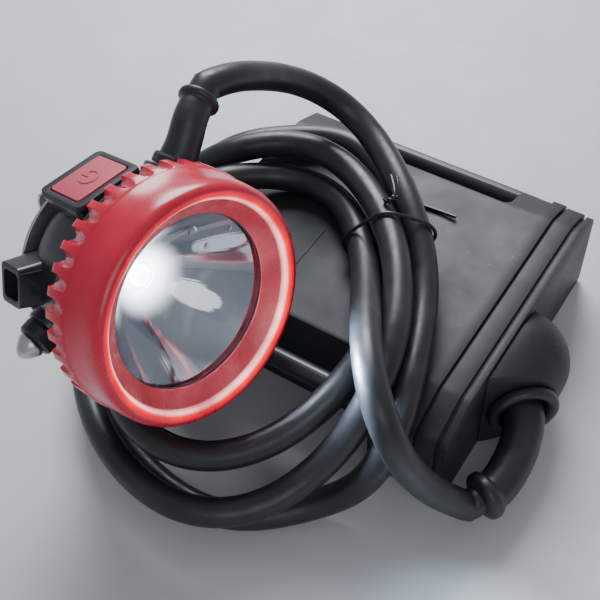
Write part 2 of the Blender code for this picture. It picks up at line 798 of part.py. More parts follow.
def housing():
    shell = revolve(
        [
            (r * MM, a * MM)
            for r, a in (
                (0.0, -7.8),
                (36.2, -7.8),
                (36.2, -18.6),
                (34.8, -20.0),
                (31.0, -22.4),
                (29.6, -34.0),
                (28.0, -41.0),
                (25.6, -44.8),
                (22.4, -46.9),
                (18.0, -47.5),
                (0.0, -47.5),
            )
        ],
        36,
    )
    inside = revolve(
        [
            (r * MM, a * MM)
            for r, a in (
                (0.0, 0.0),
                (33.4, 0.0),
                (33.4, -17.0),
                (28.2, -22.0),
                (26.8, -34.0),
                (25.2, -41.0),
                (20.4, -44.8),
                (0.0, -45.0),
            )
        ],
        36,
    )
    tower = prism(rounded_rectangle(SWITCH_W * 0.84, SWITCH_L * 0.84, 2 * MM), 0, 8 * MM, 1.19)
    tower.transform(
        Matrix.Translation((0, SWITCH_TOP - 8 * MM, SWITCH_A))
        @ Matrix.Rotation(-math.pi / 2, 4, "X")
    )
    boss = disc(9.0 * MM, 24.0 * MM, 34.6 * MM, 24, 0.8 * MM)
    boss.transform(gland_place())
    lug = prism(rounded_rectangle(15 * MM, 12 * MM, 2 * MM), 22 * MM, 36 * MM, 0.86)
    lug.transform(lug_place())
    seat = disc(7.0 * MM, 20.0 * MM, 31.0 * MM, 20)
    seat.transform(pin_place())
    shell = combine(shell, [tower, boss, lug, seat], "UNION")
    pocket = prism(
        rounded_rectangle(BUTTON_W + 0.8 * MM, BUTTON_L + 0.8 * MM, 1.4 * MM),
        29.0 * MM,
        60 * MM,
    )
    pocket.transform(
        Matrix.Translation((0, 0, SWITCH_A)) @ Matrix.Rotation(-math.pi / 2, 4, "X")
    )
    bore = disc(3.4 * MM, 20.0 * MM, 60 * MM, 24)
    bore.transform(gland_place())
    recess = prism(rounded_rectangle(8.4 * MM, 7.4 * MM, 1.4 * MM), 30.6 * MM, 60 * MM, 1.3)
    recess.transform(lug_place())
    stem = disc(2.3 * MM, 20.0 * MM, 60 * MM, 20)
    stem.transform(pin_place())
    shell = combine(shell, [inside, pocket, bore, recess, stem], "DIFFERENCE")
    add("head_housing", shell, ((0.02, 0.022, 0.026), 0.3), HEAD, smooth=False)


def radial(turn, along):
    """Local Z along the radius at a roll angle, at a depth along the lamp axis."""
    out = Vector((-math.sin(turn), math.cos(turn), 0.0))
    side = Vector((0.0, 0.0, 1.0)).cross(out)
    frame = Matrix(
        (
            (side.x, 0.0, out.x, 0.0),
            (side.y, 0.0, out.y, 0.0),
            (0.0, 1.0, 0.0, along),
            (0, 0, 0, 1),
        )
    )
    return frame


def gland_place():
    return radial(GLAND_ANGLE, GLAND_A)


def lug_place():
    return radial(LUG_TURN, LUG_A)


def pin_place():
    return radial(PIN_TURN, PIN_A)


def switch():
    frame = prism(rounded_rectangle(SWITCH_W, SWITCH_L, 2.2 * MM, 5), 0, 1.5 * MM, 0.975)
    hole = prism(
        rounded_rectangle(BUTTON_W + 0.7 * MM, BUTTON_L + 0.7 * MM, 1.4 * MM),
        -5 * MM,
        5 * MM,
    )
    frame = combine(frame, [hole], "DIFFERENCE")
    frame.transform(switch_place(SWITCH_TOP + 0.15 * MM))
    bevelled(add("switch_frame", frame, PLASTIC, HEAD, smooth=False), 0.3 * MM, 2)
    cap = prism(rounded_rectangle(BUTTON_W, BUTTON_L, 1.2 * MM), 0, 3.9 * MM, 0.985)
    cap.transform(switch_place(-1.95 * MM))
    button = add("switch_button", cap, ((0.5, 0.03, 0.05), 0.4), smooth=False)
    bevelled(button, 0.4 * MM, 2)
    button.matrix_world = HEAD @ Matrix.Translation((0, 33.15 * MM, 0))
    body = block((6 * MM, 0.9 * MM, 6 * MM), (0, 29.65 * MM, SWITCH_A), 0.1 * MM, 1)
    add("tact_switch", body, STEEL, HEAD)


def switch_place(height):
    return Matrix.Translation((0, height, SWITCH_A)) @ Matrix.Rotation(
        -math.pi / 2, 4, "X"
    )


def fittings():
    nut = revolve(
        [
            (3.6 * MM, 34.9 * MM),
            (7.0 * MM, 34.9 * MM),
            (7.3 * MM, 35.4 * MM),
            (7.1 * MM, 37.6 * MM),
            (6.6 * MM, 38.4 * MM),
            (3.6 * MM, 38.4 * MM),
        ],
        16,
    )
    add("head_gland_nut", nut, RUBBER, HEAD @ gland_place())
    bush = revolve(
        [
            (2.4 * MM, 31.3 * MM),
            (6.0 * MM, 31.3 * MM),
            (6.2 * MM, 31.8 * MM),
            (6.0 * MM, 35.2 * MM),
            (5.2 * MM, 36.0 * MM),
            (2.4 * MM, 36.0 * MM),
        ],
        20,
    )
    add("contact_bush", bush, RUBBER, HEAD @ pin_place())
    pin = revolve(
        [
            (0.0, 28.6 * MM),
            (2.0 * MM, 28.6 * MM),
            (2.0 * MM, 36.3 * MM),
            (4.2 * MM, 36.3 * MM),
            (4.5 * MM, 37.0 * MM),
            (4.2 * MM, 38.0 * MM),
            (3.1 * MM, 40.0 * MM),
            (1.6 * MM, 41.6 * MM),
            (0.0, 42.1 * MM),
        ],
        20,
    )
    add("contact_pin", pin, STEEL, HEAD @ pin_place())
    lock = screw(
        1.9 * MM,
        1.6 * MM,
        0.9 * MM,
        0.6 * MM,
        HEAD @ radial(math.radians(-98.0), -4.0 * MM),
        42.2 * MM,
    )
    add("bezel_lock_screw", lock, STEEL)


def hook():
    """Steel back plate with a raised tongue that slips over the cap's bracket."""
    thick, width = 1.2 * MM, 17.0 * MM
    plate = disc(28.4 * MM, PLATE_A - thick, PLATE_A, 40, 0.2 * MM)
    line = [(4.0, -48.0), (8.0, -50.5), (10.5, -54.6), (13.5, -56.0)]
    line += [(19.0, -56.0), (24.0, -54.8), (27.5, -52.2)]
    outline = [(y * MM, a * MM) for y, a in line]
    back = [(y, a - thick) for y, a in reversed(outline)]
    tongue = prism(outline + back, -width / 2, width / 2)
    tongue.transform(ALONG_X)
    plate = combine(plate, [tongue], "UNION")
    add("cap_hook", plate, STEEL, HEAD, smooth=False)
    for name, y in (("lower", -16.0 * MM), ("upper", -4.0 * MM)):
        low = PLATE_A - thick - GAP
        rivet = disc(2.6 * MM, low - 1.3 * MM, low, 14, 0.5 * MM)
        rivet.transform(Matrix.Translation((0, y, 0)))
        add("hook_rivet_" + name, rivet, STEEL, HEAD)


battery()
battery_inside()
outlet()
cable_run()
bezel()
optics()
housing()
switch()
fittings()
hook()
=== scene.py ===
"""Looks of the miner's cap lamp: fine cable, boots, bezel, optics, battery skin, finishes.

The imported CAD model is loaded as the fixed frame. New pieces are built in metres in the
same frame: the battery stands on Z = 0 and +X is its capped end. The lamp head's pieces
are built round its own axis, local +Z, and placed by the matrix HEAD.
"""

import json
import math

import bmesh
import bpy
import numpy as np
from mathutils import Matrix, Quaternion, Vector


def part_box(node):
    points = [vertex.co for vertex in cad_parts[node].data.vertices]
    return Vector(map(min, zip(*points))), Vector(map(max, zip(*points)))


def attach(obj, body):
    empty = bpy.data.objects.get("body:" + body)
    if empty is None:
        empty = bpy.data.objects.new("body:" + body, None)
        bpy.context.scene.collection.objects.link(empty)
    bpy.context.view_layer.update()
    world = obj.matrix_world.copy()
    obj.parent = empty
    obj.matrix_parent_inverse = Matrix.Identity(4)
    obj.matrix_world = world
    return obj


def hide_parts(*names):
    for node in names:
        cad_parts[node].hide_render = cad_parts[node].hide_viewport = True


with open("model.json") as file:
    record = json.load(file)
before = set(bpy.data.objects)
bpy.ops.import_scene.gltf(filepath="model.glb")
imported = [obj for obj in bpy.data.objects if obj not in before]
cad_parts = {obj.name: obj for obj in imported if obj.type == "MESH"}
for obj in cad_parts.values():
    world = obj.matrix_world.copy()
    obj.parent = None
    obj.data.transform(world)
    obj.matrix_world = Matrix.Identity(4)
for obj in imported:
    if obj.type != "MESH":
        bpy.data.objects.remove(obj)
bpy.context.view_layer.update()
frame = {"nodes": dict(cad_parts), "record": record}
NODES = frame["nodes"]
BODY = "cap_lamp"
BUTTON_BODY = "switch_button"
MM = 0.001

# ---------------------------------------------------------------- sizes shared with the frame

CASE_LOW, CASE_HIGH = (Vector(corner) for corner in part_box("battery_case"))
CAP_LOW, CAP_HIGH = (Vector(corner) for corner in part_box("battery_cap"))
CASE_LEFT = CASE_LOW.x
CASE_RIGHT = CASE_HIGH.x
CAP_START = CAP_LOW.x
CAP_END = CAP_HIGH.x
CASE_HALF_WIDTH = 58.1 * MM
TOP_HALF_WIDTH = 42.5 * MM
CASE_HEIGHT = 40.0 * MM
SHOULDER_HEIGHT = 35.2 * MM
CASE_WALL = 2.8 * MM
SLOT_HALF_LENGTH = 32.9 * MM
FLANGE_LENGTH = 4.6 * MM
FLANGE_PROUD = 0.7 * MM
BELT_BAR_D = 7.0 * MM
BELT_BAR_Y = 54.4 * MM
BELT_BAR_Z = 31.6 * MM
CAP_GROOVE = 57.0 * MM
CAP_GROOVE_W = 1.4 * MM
HOOD_R = 18.6 * MM
HOOD_Z = 20.0 * MM
HOOD_BACK_Y = 12.0 * MM
HOOD_MOUTH_INNER_Y = -31.0 * MM
HOOD_MOUTH_OUTER_Y = -14.0 * MM
CABLE_D = 9.8 * MM
BATTERY_BOOT_D = 14.0 * MM
HEAD_BOOT_D = 11.6 * MM
TIE_D = 1.3 * MM
TIE_CENTRE = Vector((10.5, -3.0, 50.0)) * MM
TIE_AXIS = Vector((0.5, -0.866, 0.0))
HEAD_CENTRE = Vector((-16.4, -76.1, 74.3)) * MM
HEAD_AXIS = Vector((0.957, -0.160, 0.239))
BEZEL_TEETH = 36
SWITCH_A = -32.8 * MM
SWITCH_W = 23.8 * MM
SWITCH_L = 21.2 * MM
SWITCH_TOP = 33.2 * MM
BUTTON_W = 19.0 * MM
BUTTON_L = 14.6 * MM
GLAND_ANGLE = math.radians(-46.0)
GLAND_A = -27.8 * MM
LUG_ANGLE = math.radians(66.0)
LUG_A = -41.2 * MM
PIN_ANGLE = math.radians(100.0)
PIN_A = -40.0 * MM

FRONT = HEAD_AXIS.normalized()
UP = (Vector((0, 0, 1)) - FRONT * FRONT.z).normalized()
ACROSS = UP.cross(FRONT)
HEAD = Matrix(
    (
        (ACROSS.x, UP.x, FRONT.x, HEAD_CENTRE.x),
        (ACROSS.y, UP.y, FRONT.y, HEAD_CENTRE.y),
        (ACROSS.z, UP.z, FRONT.z, HEAD_CENTRE.z),
        (0, 0, 0, 1),
    )
)
ALONG_X = Matrix(((0, 0, 1, 0), (1, 0, 0, 0), (0, 1, 0, 0), (0, 0, 0, 1)))

# ---------------------------------------------------------------- camera


def camera():
    """The photograph's viewpoint: above the capped end, looking down and to the left."""
    right = Vector((0.8365, 0.5465, -0.0403))
    up = Vector((-0.3967, 0.6546, 0.6436))
    back = right.cross(up)
    lens = bpy.data.cameras.new("camera")
    lens.lens = 60.0
    lens.sensor_width = 36.0
    lens.clip_start = 0.01
    view = bpy.data.objects.new("camera", lens)
    bpy.context.scene.collection.objects.link(view)
    place = Matrix((right, up, back)).transposed().to_4x4()
    place.translation = Vector((0.1208, -0.2123, 0.2990))
    view.matrix_world = place
    bpy.context.scene.camera = view


camera()

# ---------------------------------------------------------------- mesh tools


def evaluated(helper):
    """The mesh of a helper object with its modifiers applied; the helper is removed."""
    collection = bpy.context.scene.collection
    collection.objects.link(helper)
    bpy.context.view_layer.update()
    graph = bpy.context.evaluated_depsgraph_get()
    mesh = bpy.data.meshes.new_from_object(helper.evaluated_get(graph))
    bpy.data.objects.remove(helper)
    work = bmesh.new()
    work.from_mesh(mesh)
    bmesh.ops.remove_doubles(work, verts=work.verts, dist=1e-6)
    bmesh.ops.dissolve_degenerate(work, edges=work.edges, dist=1e-6)
    bmesh.ops.recalc_face_normals(work, faces=work.faces)
    work.to_mesh(mesh)
    work.free()
    return mesh


def revolve(profile, segments=96):
    """Turn a profile of (radius, height) round local Z; it ends on the axis or closes."""
    mesh = bpy.data.meshes.new("profile")
    points = [(radius, 0.0, height) for radius, height in profile]
    edges = [(i, i + 1) for i in range(len(points) - 1)]
    if min(profile[0][0], profile[-1][0]) > 0.0:
        edges.append((len(points) - 1, 0))
    mesh.from_pydata(points, edges, [])
    helper = bpy.data.objects.new("turned", mesh)
    turn = helper.modifiers.new("turn", "SCREW")
    turn.axis = "Z"
    turn.steps = turn.render_steps = segments
    turn.use_merge_vertices = True
    turn.merge_threshold = 1e-5
    return evaluated(helper)


def in_mm(points):
    return [tuple(value * MM for value in point) for point in points]


def disc(radius, low, high, segments=64, edge=0.0):
    """A solid round plate with an eased edge."""
    edge = edge or min(radius, high - low) * 0.12
    profile = [(0.0, high), (radius - edge, high), (radius - edge * 0.3, high - edge * 0.3)]
    profile += [(radius, high - edge), (radius, low + edge)]
    profile += [(radius - edge * 0.3, low + edge * 0.3), (radius - edge, low), (0.0, low)]
    return revolve(profile, segments)


def prism(outline, low, high, top_scale=1.0):
    """Extrude a flat outline in XY from low to high, optionally narrowing it."""
    curve = bpy.data.curves.new("outline", "CURVE")
    curve.dimensions = "2D"
    curve.fill_mode = "BOTH"
    curve.extrude = (high - low) / 2
    spline = curve.splines.new("POLY")
    spline.points.add(len(outline) - 1)
    spline.use_cyclic_u = True
    for point, (x, y) in zip(spline.points, outline):
        point.co = (x, y, 0.0, 1.0)
    mesh = evaluated(bpy.data.objects.new("outline", curve))
    for vertex in mesh.vertices:
        if vertex.co.z > 0:
            vertex.co.x *= top_scale
            vertex.co.y *= top_scale
        vertex.co.z += (low + high) / 2
    return mesh


def rounded_rectangle(width, length, radius, steps=8):
    outline = []
    for sx, sy, start in ((1, 1, 0), (-1, 1, 90), (-1, -1, 180), (1, -1, 270)):
        for k in range(steps + 1):
            turn = math.radians(start + 90 * k / steps)
            x = sx * (width / 2 - radius) + radius * math.cos(turn)
            y = sy * (length / 2 - radius) + radius * math.sin(turn)
            outline.append((x, y))
    return outline


def block(size, centre=(0, 0, 0)):
    mesh = bpy.data.meshes.new("block")
    work = bmesh.new()
    bmesh.ops.create_cube(work, size=1.0)
    bmesh.ops.scale(work, vec=size, verts=work.verts)
    bmesh.ops.translate(work, vec=centre, verts=work.verts)
    work.to_mesh(mesh)
    work.free()
    return mesh


def joined(meshes):
    """Several loose meshes as one."""
    work = bmesh.new()
    for mesh in meshes:
        work.from_mesh(mesh)
    whole = bpy.data.meshes.new("joined")
    work.to_mesh(whole)
    work.free()
    return whole


def combine(mesh, others, operation):
    """Cut or merge solids into a mesh and return the result."""
    target = bpy.data.objects.new("target", mesh)
    helpers = []
    for other in others:
        helper = bpy.data.objects.new("helper", other)
        helpers.append(helper)
        step = target.modifiers.new("step", "BOOLEAN")
        step.operation = operation
        step.solver = "EXACT"
        step.object = helper
    result = evaluated(target)
    for helper in helpers:
        bpy.data.objects.remove(helper)
    return result


def moved(mesh, place):
    mesh.transform(place)
    return mesh


def rounded(mesh, width, segments=3, angle=32.0):
    """The mesh with its sharp edges rounded over."""
    helper = bpy.data.objects.new("rounded", mesh)
    bevel = helper.modifiers.new("bevel", "BEVEL")
    bevel.width = width
    bevel.segments = segments
    bevel.limit_method = "ANGLE"
    bevel.angle_limit = math.radians(angle)
    bevel.harden_normals = False
    return evaluated(helper)


def turned(axis, origin):
    """A matrix that puts local Z along an axis at an origin."""
    spin = Vector((0.0, 0.0, 1.0)).rotation_difference(Vector(axis).normalized())
    return Matrix.Translation(Vector(origin)) @ spin.to_matrix().to_4x4()


def radial(turn, along):
    """Local Z along the head's radius at a roll angle, at a depth along its axis."""
    out = Vector((-math.sin(turn), math.cos(turn), 0.0))
    side = Vector((0.0, 0.0, 1.0)).cross(out)
    return Matrix(
        (
            (side.x, 0.0, out.x, 0.0),
            (side.y, 0.0, out.y, 0.0),
            (0.0, 1.0, 0.0, along),
            (0, 0, 0, 1),
        )
    )


def piece(name, mesh, finish, slot, stands_for=(), place=None, body=BODY, sharp=35.0):
    """Show a mesh as one named piece that rides on a body and may stand for CAD nodes."""
    shown = bpy.data.objects.new(name, mesh)
    bpy.context.scene.collection.objects.link(shown)
    if place is not None:
        shown.matrix_world = place
    mesh.materials.clear()
    mesh.materials.append(finish)
    mesh.shade_smooth()
    mesh.set_sharp_from_angle(angle=math.radians(sharp))
    bpy.context.view_layer.update()
    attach(shown, body)
    if stands_for:
        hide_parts(*stands_for)
    return shown


# ---------------------------------------------------------------- finishes


class Finish:
    """A node material built round the Principled shader, in object coordinates."""

    def __init__(self, name, colour, roughness, metallic=0.0):
        self.material = bpy.data.materials.new(name)
        self.material.use_nodes = True
        self.nodes = self.material.node_tree.nodes
        self.links = self.material.node_tree.links
        self.shader = self.nodes["Principled BSDF"]
        self.shader.inputs["Base Color"].default_value = (*colour, 1.0)
        self.shader.inputs["Roughness"].default_value = roughness
        self.shader.inputs["Metallic"].default_value = metallic
        self.colour = colour
        self.roughness = roughness
        self.coordinates = self.nodes.new("ShaderNodeTexCoord").outputs["Object"]
        self.height = None

    def noise(self, size, detail=3.0, stretch=None):
        """Noise whose features are about size metres, optionally stretched along axes."""
        texture = self.nodes.new("ShaderNodeTexNoise")
        texture.inputs["Scale"].default_value = 1.0 / size
        texture.inputs["Detail"].default_value = detail
        texture.inputs["Roughness"].default_value = 0.55
        source = self.coordinates
        if stretch:
            mapping = self.nodes.new("ShaderNodeMapping")
            mapping.inputs["Scale"].default_value = stretch
            self.links.new(self.coordinates, mapping.inputs["Vector"])
            source = mapping.outputs["Vector"]
        self.links.new(source, texture.inputs["Vector"])
        return texture.outputs["Fac"]

    def from_axis(self, operation, output):
        """A vector operation on the part of the coordinates that is square to Z."""
        flat = self.nodes.new("ShaderNodeVectorMath")
        flat.operation = "MULTIPLY"
        flat.inputs[1].default_value = (1.0, 1.0, 0.0)
        self.links.new(self.coordinates, flat.inputs[0])
        node = self.nodes.new("ShaderNodeVectorMath")
        node.operation = operation
        self.links.new(flat.outputs["Vector"], node.inputs[0])
        return node.outputs[output]

    def radius(self):
        """The distance from the object's own Z axis."""
        return self.from_axis("LENGTH", "Value")

    def direction(self):
        """The direction from the object's axis, so that a pattern runs out like spokes."""
        return self.from_axis("NORMALIZE", "Vector")

    def ranged(self, value, low, high, to_low=0.0, to_high=1.0):
        node = self.nodes.new("ShaderNodeMapRange")
        node.inputs["From Min"].default_value = low
        node.inputs["From Max"].default_value = high
        node.inputs["To Min"].default_value = to_low
        node.inputs["To Max"].default_value = to_high
        self.links.new(value, node.inputs["Value"])
        return node.outputs["Result"]

    def maths(self, operation, a, b=0.0):
        node = self.nodes.new("ShaderNodeMath")
        node.operation = operation
        for slot, value in zip(node.inputs, (a, b)):
            if isinstance(value, (int, float)):
                slot.default_value = value
            else:
                self.links.new(value, slot)
        return node.outputs["Value"]

    def tint(self, mask, colour):
        """Mix another colour over the base colour where the mask is high."""
        mix = self.nodes.new("ShaderNodeMix")
        mix.data_type = "RGBA"
        base = self.shader.inputs["Base Color"]
        if base.is_linked:
            self.links.new(base.links[0].from_socket, mix.inputs["A"])
        else:
            mix.inputs["A"].default_value = base.default_value
        mix.inputs["B"].default_value = (*colour, 1.0)
        self.links.new(mask, mix.inputs["Factor"])
        self.links.new(mix.outputs["Result"], base)
        return self

    def mottle(self, size, amount):
        """Slow drift of the colour, as uneven moulding and handling leave."""
        lighter = tuple(min(1.0, c * (1 + amount) + amount * 0.004) for c in self.colour)
        mask = self.ranged(self.noise(size, 2.0), 0.35, 0.7)
        return self.tint(mask, lighter)

    def polish(self, size, spread):
        """Roughness that varies a little over the surface."""
        mask = self.noise(size, 4.0)
        low, high = self.roughness - spread, self.roughness + spread
        self.links.new(self.ranged(mask, 0.3, 0.7, low, high), self.shader.inputs["Roughness"])
        return self

    def grain(self, size, depth, stretch=None, detail=2.0):
        """Fine relief: features of a size in metres, of a depth in metres."""
        bump = self.nodes.new("ShaderNodeBump")
        bump.inputs["Distance"].default_value = depth
        bump.inputs["Strength"].default_value = 1.0
        self.links.new(self.noise(size, detail, stretch), bump.inputs["Height"])
        if self.height:
            self.links.new(self.height, bump.inputs["Normal"])
        self.height = bump.outputs["Normal"]
        self.links.new(self.height, self.shader.inputs["Normal"])
        return self

    def scuffs(self, colour, amount, size=1.2 * MM, where=4 * MM):
        """Pale rubs and nicks: fine stretched noise kept to patches."""
        marks = self.ranged(self.noise(size, 5.0, (1.0, 3.0, 2.0)), 0.62, 0.7)
        patch = self.ranged(self.noise(where, 2.0), 0.55, 0.68)
        return self.tint(self.maths("MULTIPLY", self.maths("MULTIPLY", marks, patch), amount), colour)

    def set(self, **values):
        names = {name.replace(" ", "_").lower(): name for name in self.shader.inputs.keys()}
        for key, value in values.items():
            self.shader.inputs[names[key]].default_value = value
        return self


def moulded_plastic(name, colour, roughness):
    """Injection-moulded plastic: a fine moulded grain and a slow drift of colour and polish."""
    finish = Finish(name, colour, roughness)
    finish.mottle(35 * MM, 0.12).polish(14 * MM, 0.05)
    finish.grain(0.5 * MM, 0.012 * MM)
    return finish


def cable_rubber():
    """Black sheath: satin, dusty in patches, with faint drawn-out ripples."""
    finish = Finish("cable_rubber", (0.017, 0.018, 0.021), 0.40)
    finish.mottle(14 * MM, 0.5).polish(5 * MM, 0.09)
    finish.scuffs((0.09, 0.09, 0.10), 0.5, 0.8 * MM, 9 * MM)
    finish.grain(0.35 * MM, 0.010 * MM).grain(4 * MM, 0.05 * MM)
    return finish


def metal(name, colour, roughness):
    """Metal with fine directional brushing and a few dull patches."""
    finish = Finish(name, colour, roughness, 1.0)
    finish.polish(4 * MM, 0.08).grain(0.5 * MM, 0.004 * MM, (1.0, 25.0, 1.0))
    finish.mottle(6 * MM, 0.1)
    return finish


def lens_clear():
    """Clear polycarbonate, faintly greasy, with the odd hair scratch."""
    finish = Finish("clear_lens", (1.0, 1.0, 1.0), 0.02)
    finish.set(transmission_weight=1.0, ior=1.45)
    scratches = finish.ranged(finish.noise(0.6 * MM, 2.0, (1.0, 14.0, 1.0)), 0.66, 0.72)
    rough = finish.maths("MULTIPLY", scratches, 0.18)
    smears = finish.maths("MULTIPLY", finish.ranged(finish.noise(9 * MM), 0.4, 0.7), 0.05)
    finish.links.new(finish.maths("ADD", rough, smears), finish.shader.inputs["Roughness"])
    return finish


def mirror_coat():
    """Metallised plastic with radial ripples, dull near the emitter.

    The halo round the emitter is painted in as emission that fades with the radius.
    """
    finish = Finish("reflector_chrome", (0.56, 0.58, 0.63), 0.07, 1.0)
    burnt = finish.ranged(finish.radius(), 4 * MM, 13 * MM, 0.42, 0.05)
    finish.links.new(burnt, finish.shader.inputs["Roughness"])
    near = finish.ranged(finish.radius(), 14 * MM, 5 * MM)
    halo = finish.maths("MULTIPLY", finish.maths("MULTIPLY", near, near), HALO_GLOW)
    finish.shader.inputs["Emission Color"].default_value = (*LAMP_WHITE, 1.0)
    finish.links.new(halo, finish.shader.inputs["Emission Strength"])
    finish.coordinates = finish.direction()
    finish.grain(0.16, 0.10 * MM, detail=3.0)
    return finish


def glowing_bezel():
    """Glossy red plastic whose inner rim looks lit from inside by the lamp.

    The lit line is painted in as emission, by the radius: pale at its core, red outside.
    """
    finish = Finish("red_plastic", (0.58, 0.010, 0.042), 0.28)
    finish.mottle(18 * MM, 0.2).polish(5 * MM, 0.06)
    finish.grain(0.8 * MM, 0.006 * MM).grain(5 * MM, 0.03 * MM)
    finish.scuffs((0.75, 0.25, 0.22), 0.35)
    finish.set(coat_weight=0.3, coat_roughness=0.15, subsurface_weight=0.12)
    finish.set(subsurface_radius=(1.0, 0.15, 0.1), subsurface_scale=3 * MM)
    radius = finish.radius()
    split = finish.nodes.new("ShaderNodeSeparateXYZ")
    finish.links.new(finish.coordinates, split.inputs["Vector"])
    core = finish.ranged(radius, 34.1 * MM, 33.3 * MM)
    rim = finish.ranged(radius, 36.0 * MM, 33.3 * MM)
    land = finish.ranged(radius, 32.5 * MM, 33.2 * MM, 0.04, 1.0)
    front = finish.ranged(split.outputs["Z"], -1.5 * MM, -0.5 * MM)
    patchy = finish.ranged(finish.noise(16 * MM, 2.0), 0.35, 0.65, 0.35, 1.0)
    glow = finish.maths("MULTIPLY", finish.maths("MULTIPLY", rim, land), front)
    glow = finish.maths("MULTIPLY", finish.maths("MULTIPLY", glow, patchy), RIM_GLOW)
    colour = finish.nodes.new("ShaderNodeCombineColor")
    colour.inputs["Red"].default_value = 1.0
    finish.links.new(finish.maths("MULTIPLY", core, 0.50), colour.inputs["Green"])
    finish.links.new(finish.maths("MULTIPLY", core, 0.48), colour.inputs["Blue"])
    finish.links.new(colour.outputs["Color"], finish.shader.inputs["Emission Color"])
    finish.links.new(glow, finish.shader.inputs["Emission Strength"])
    return finish


def led_phosphor():
    """The lit emitter: phosphor colour under a strong cool glow."""
    finish = Finish("led_yellow", (0.95, 0.90, 0.55), 0.2)
    finish.mottle(1 * MM, 0.2)
    finish.set(emission_color=(*LAMP_WHITE, 1.0), emission_strength=LED_GLOW)
    return finish


# Emission strengths of the bezel's lit line, the reflector's halo and the emitter.
RIM_GLOW = 3.2
HALO_GLOW = 9.0
LED_GLOW = 2500.0
LAMP_WHITE = (0.80, 0.89, 1.0)

# The grey that black plastic shows where it is scuffed.
DARK_WEAR = (0.16, 0.16, 0.17)
FINISHES = {
    "black_plastic": moulded_plastic("black_plastic", (0.020, 0.022, 0.026), 0.50)
    .scuffs(DARK_WEAR, 0.8, 1.5 * MM, 9 * MM)
    .set(specular_ior_level=0.35),
    "bar_plastic": moulded_plastic("bar_plastic", (0.024, 0.026, 0.030), 0.36),
    "head_plastic": moulded_plastic("head_plastic", (0.016, 0.018, 0.022), 0.30)
    .scuffs(DARK_WEAR, 0.4),
    "red_plastic": glowing_bezel(),
    "button_rubber": moulded_plastic("button_rubber", (0.52, 0.060, 0.095), 0.5)
    .scuffs((0.66, 0.22, 0.24), 0.5),
    "cable_rubber": cable_rubber(),
    "tie_plastic": moulded_plastic("tie_plastic", (0.015, 0.015, 0.018), 0.35),
    "seal_rubber": moulded_plastic("seal_rubber", (0.018, 0.018, 0.020), 0.6),
    "foam_rubber": Finish("foam_rubber", (0.20, 0.20, 0.21), 0.9)
    .mottle(5 * MM, 0.3)
    .grain(0.7 * MM, 0.15 * MM),
    "steel": metal("steel", (0.54, 0.53, 0.51), 0.31),
    "nickel_strip": metal("nickel_strip", (0.70, 0.67, 0.60), 0.22),
    "cell_wrap": moulded_plastic("cell_wrap", (0.05, 0.16, 0.34), 0.3),
    "circuit_board": moulded_plastic("circuit_board", (0.02, 0.16, 0.06), 0.35),
    "board_white": moulded_plastic("board_white", (0.80, 0.80, 0.77), 0.5),
    "component_black": moulded_plastic("component_black", (0.05, 0.05, 0.05), 0.5),
    "fuse_body": moulded_plastic("fuse_body", (0.66, 0.64, 0.56), 0.4),
    "connector_cream": moulded_plastic("connector_cream", (0.74, 0.71, 0.63), 0.45),
    "led_yellow": led_phosphor(),
    "reflector_chrome": mirror_coat(),
    "heat_sink_metal": metal("heat_sink_metal", (0.72, 0.72, 0.73), 0.32),
    "clear_lens": lens_clear(),
}
FINISHES = {slot: finish.material for slot, finish in FINISHES.items()}


def dress_frame():
    """Give every carried-over CAD node the finish of its material slot."""
    for entry in frame["record"]["subparts"]:
        node = NODES[entry["node"]]
        node.data.materials.clear()
        node.data.materials.append(FINISHES[entry["material_slot"]])


# ---------------------------------------------------------------- cable, boots and tie

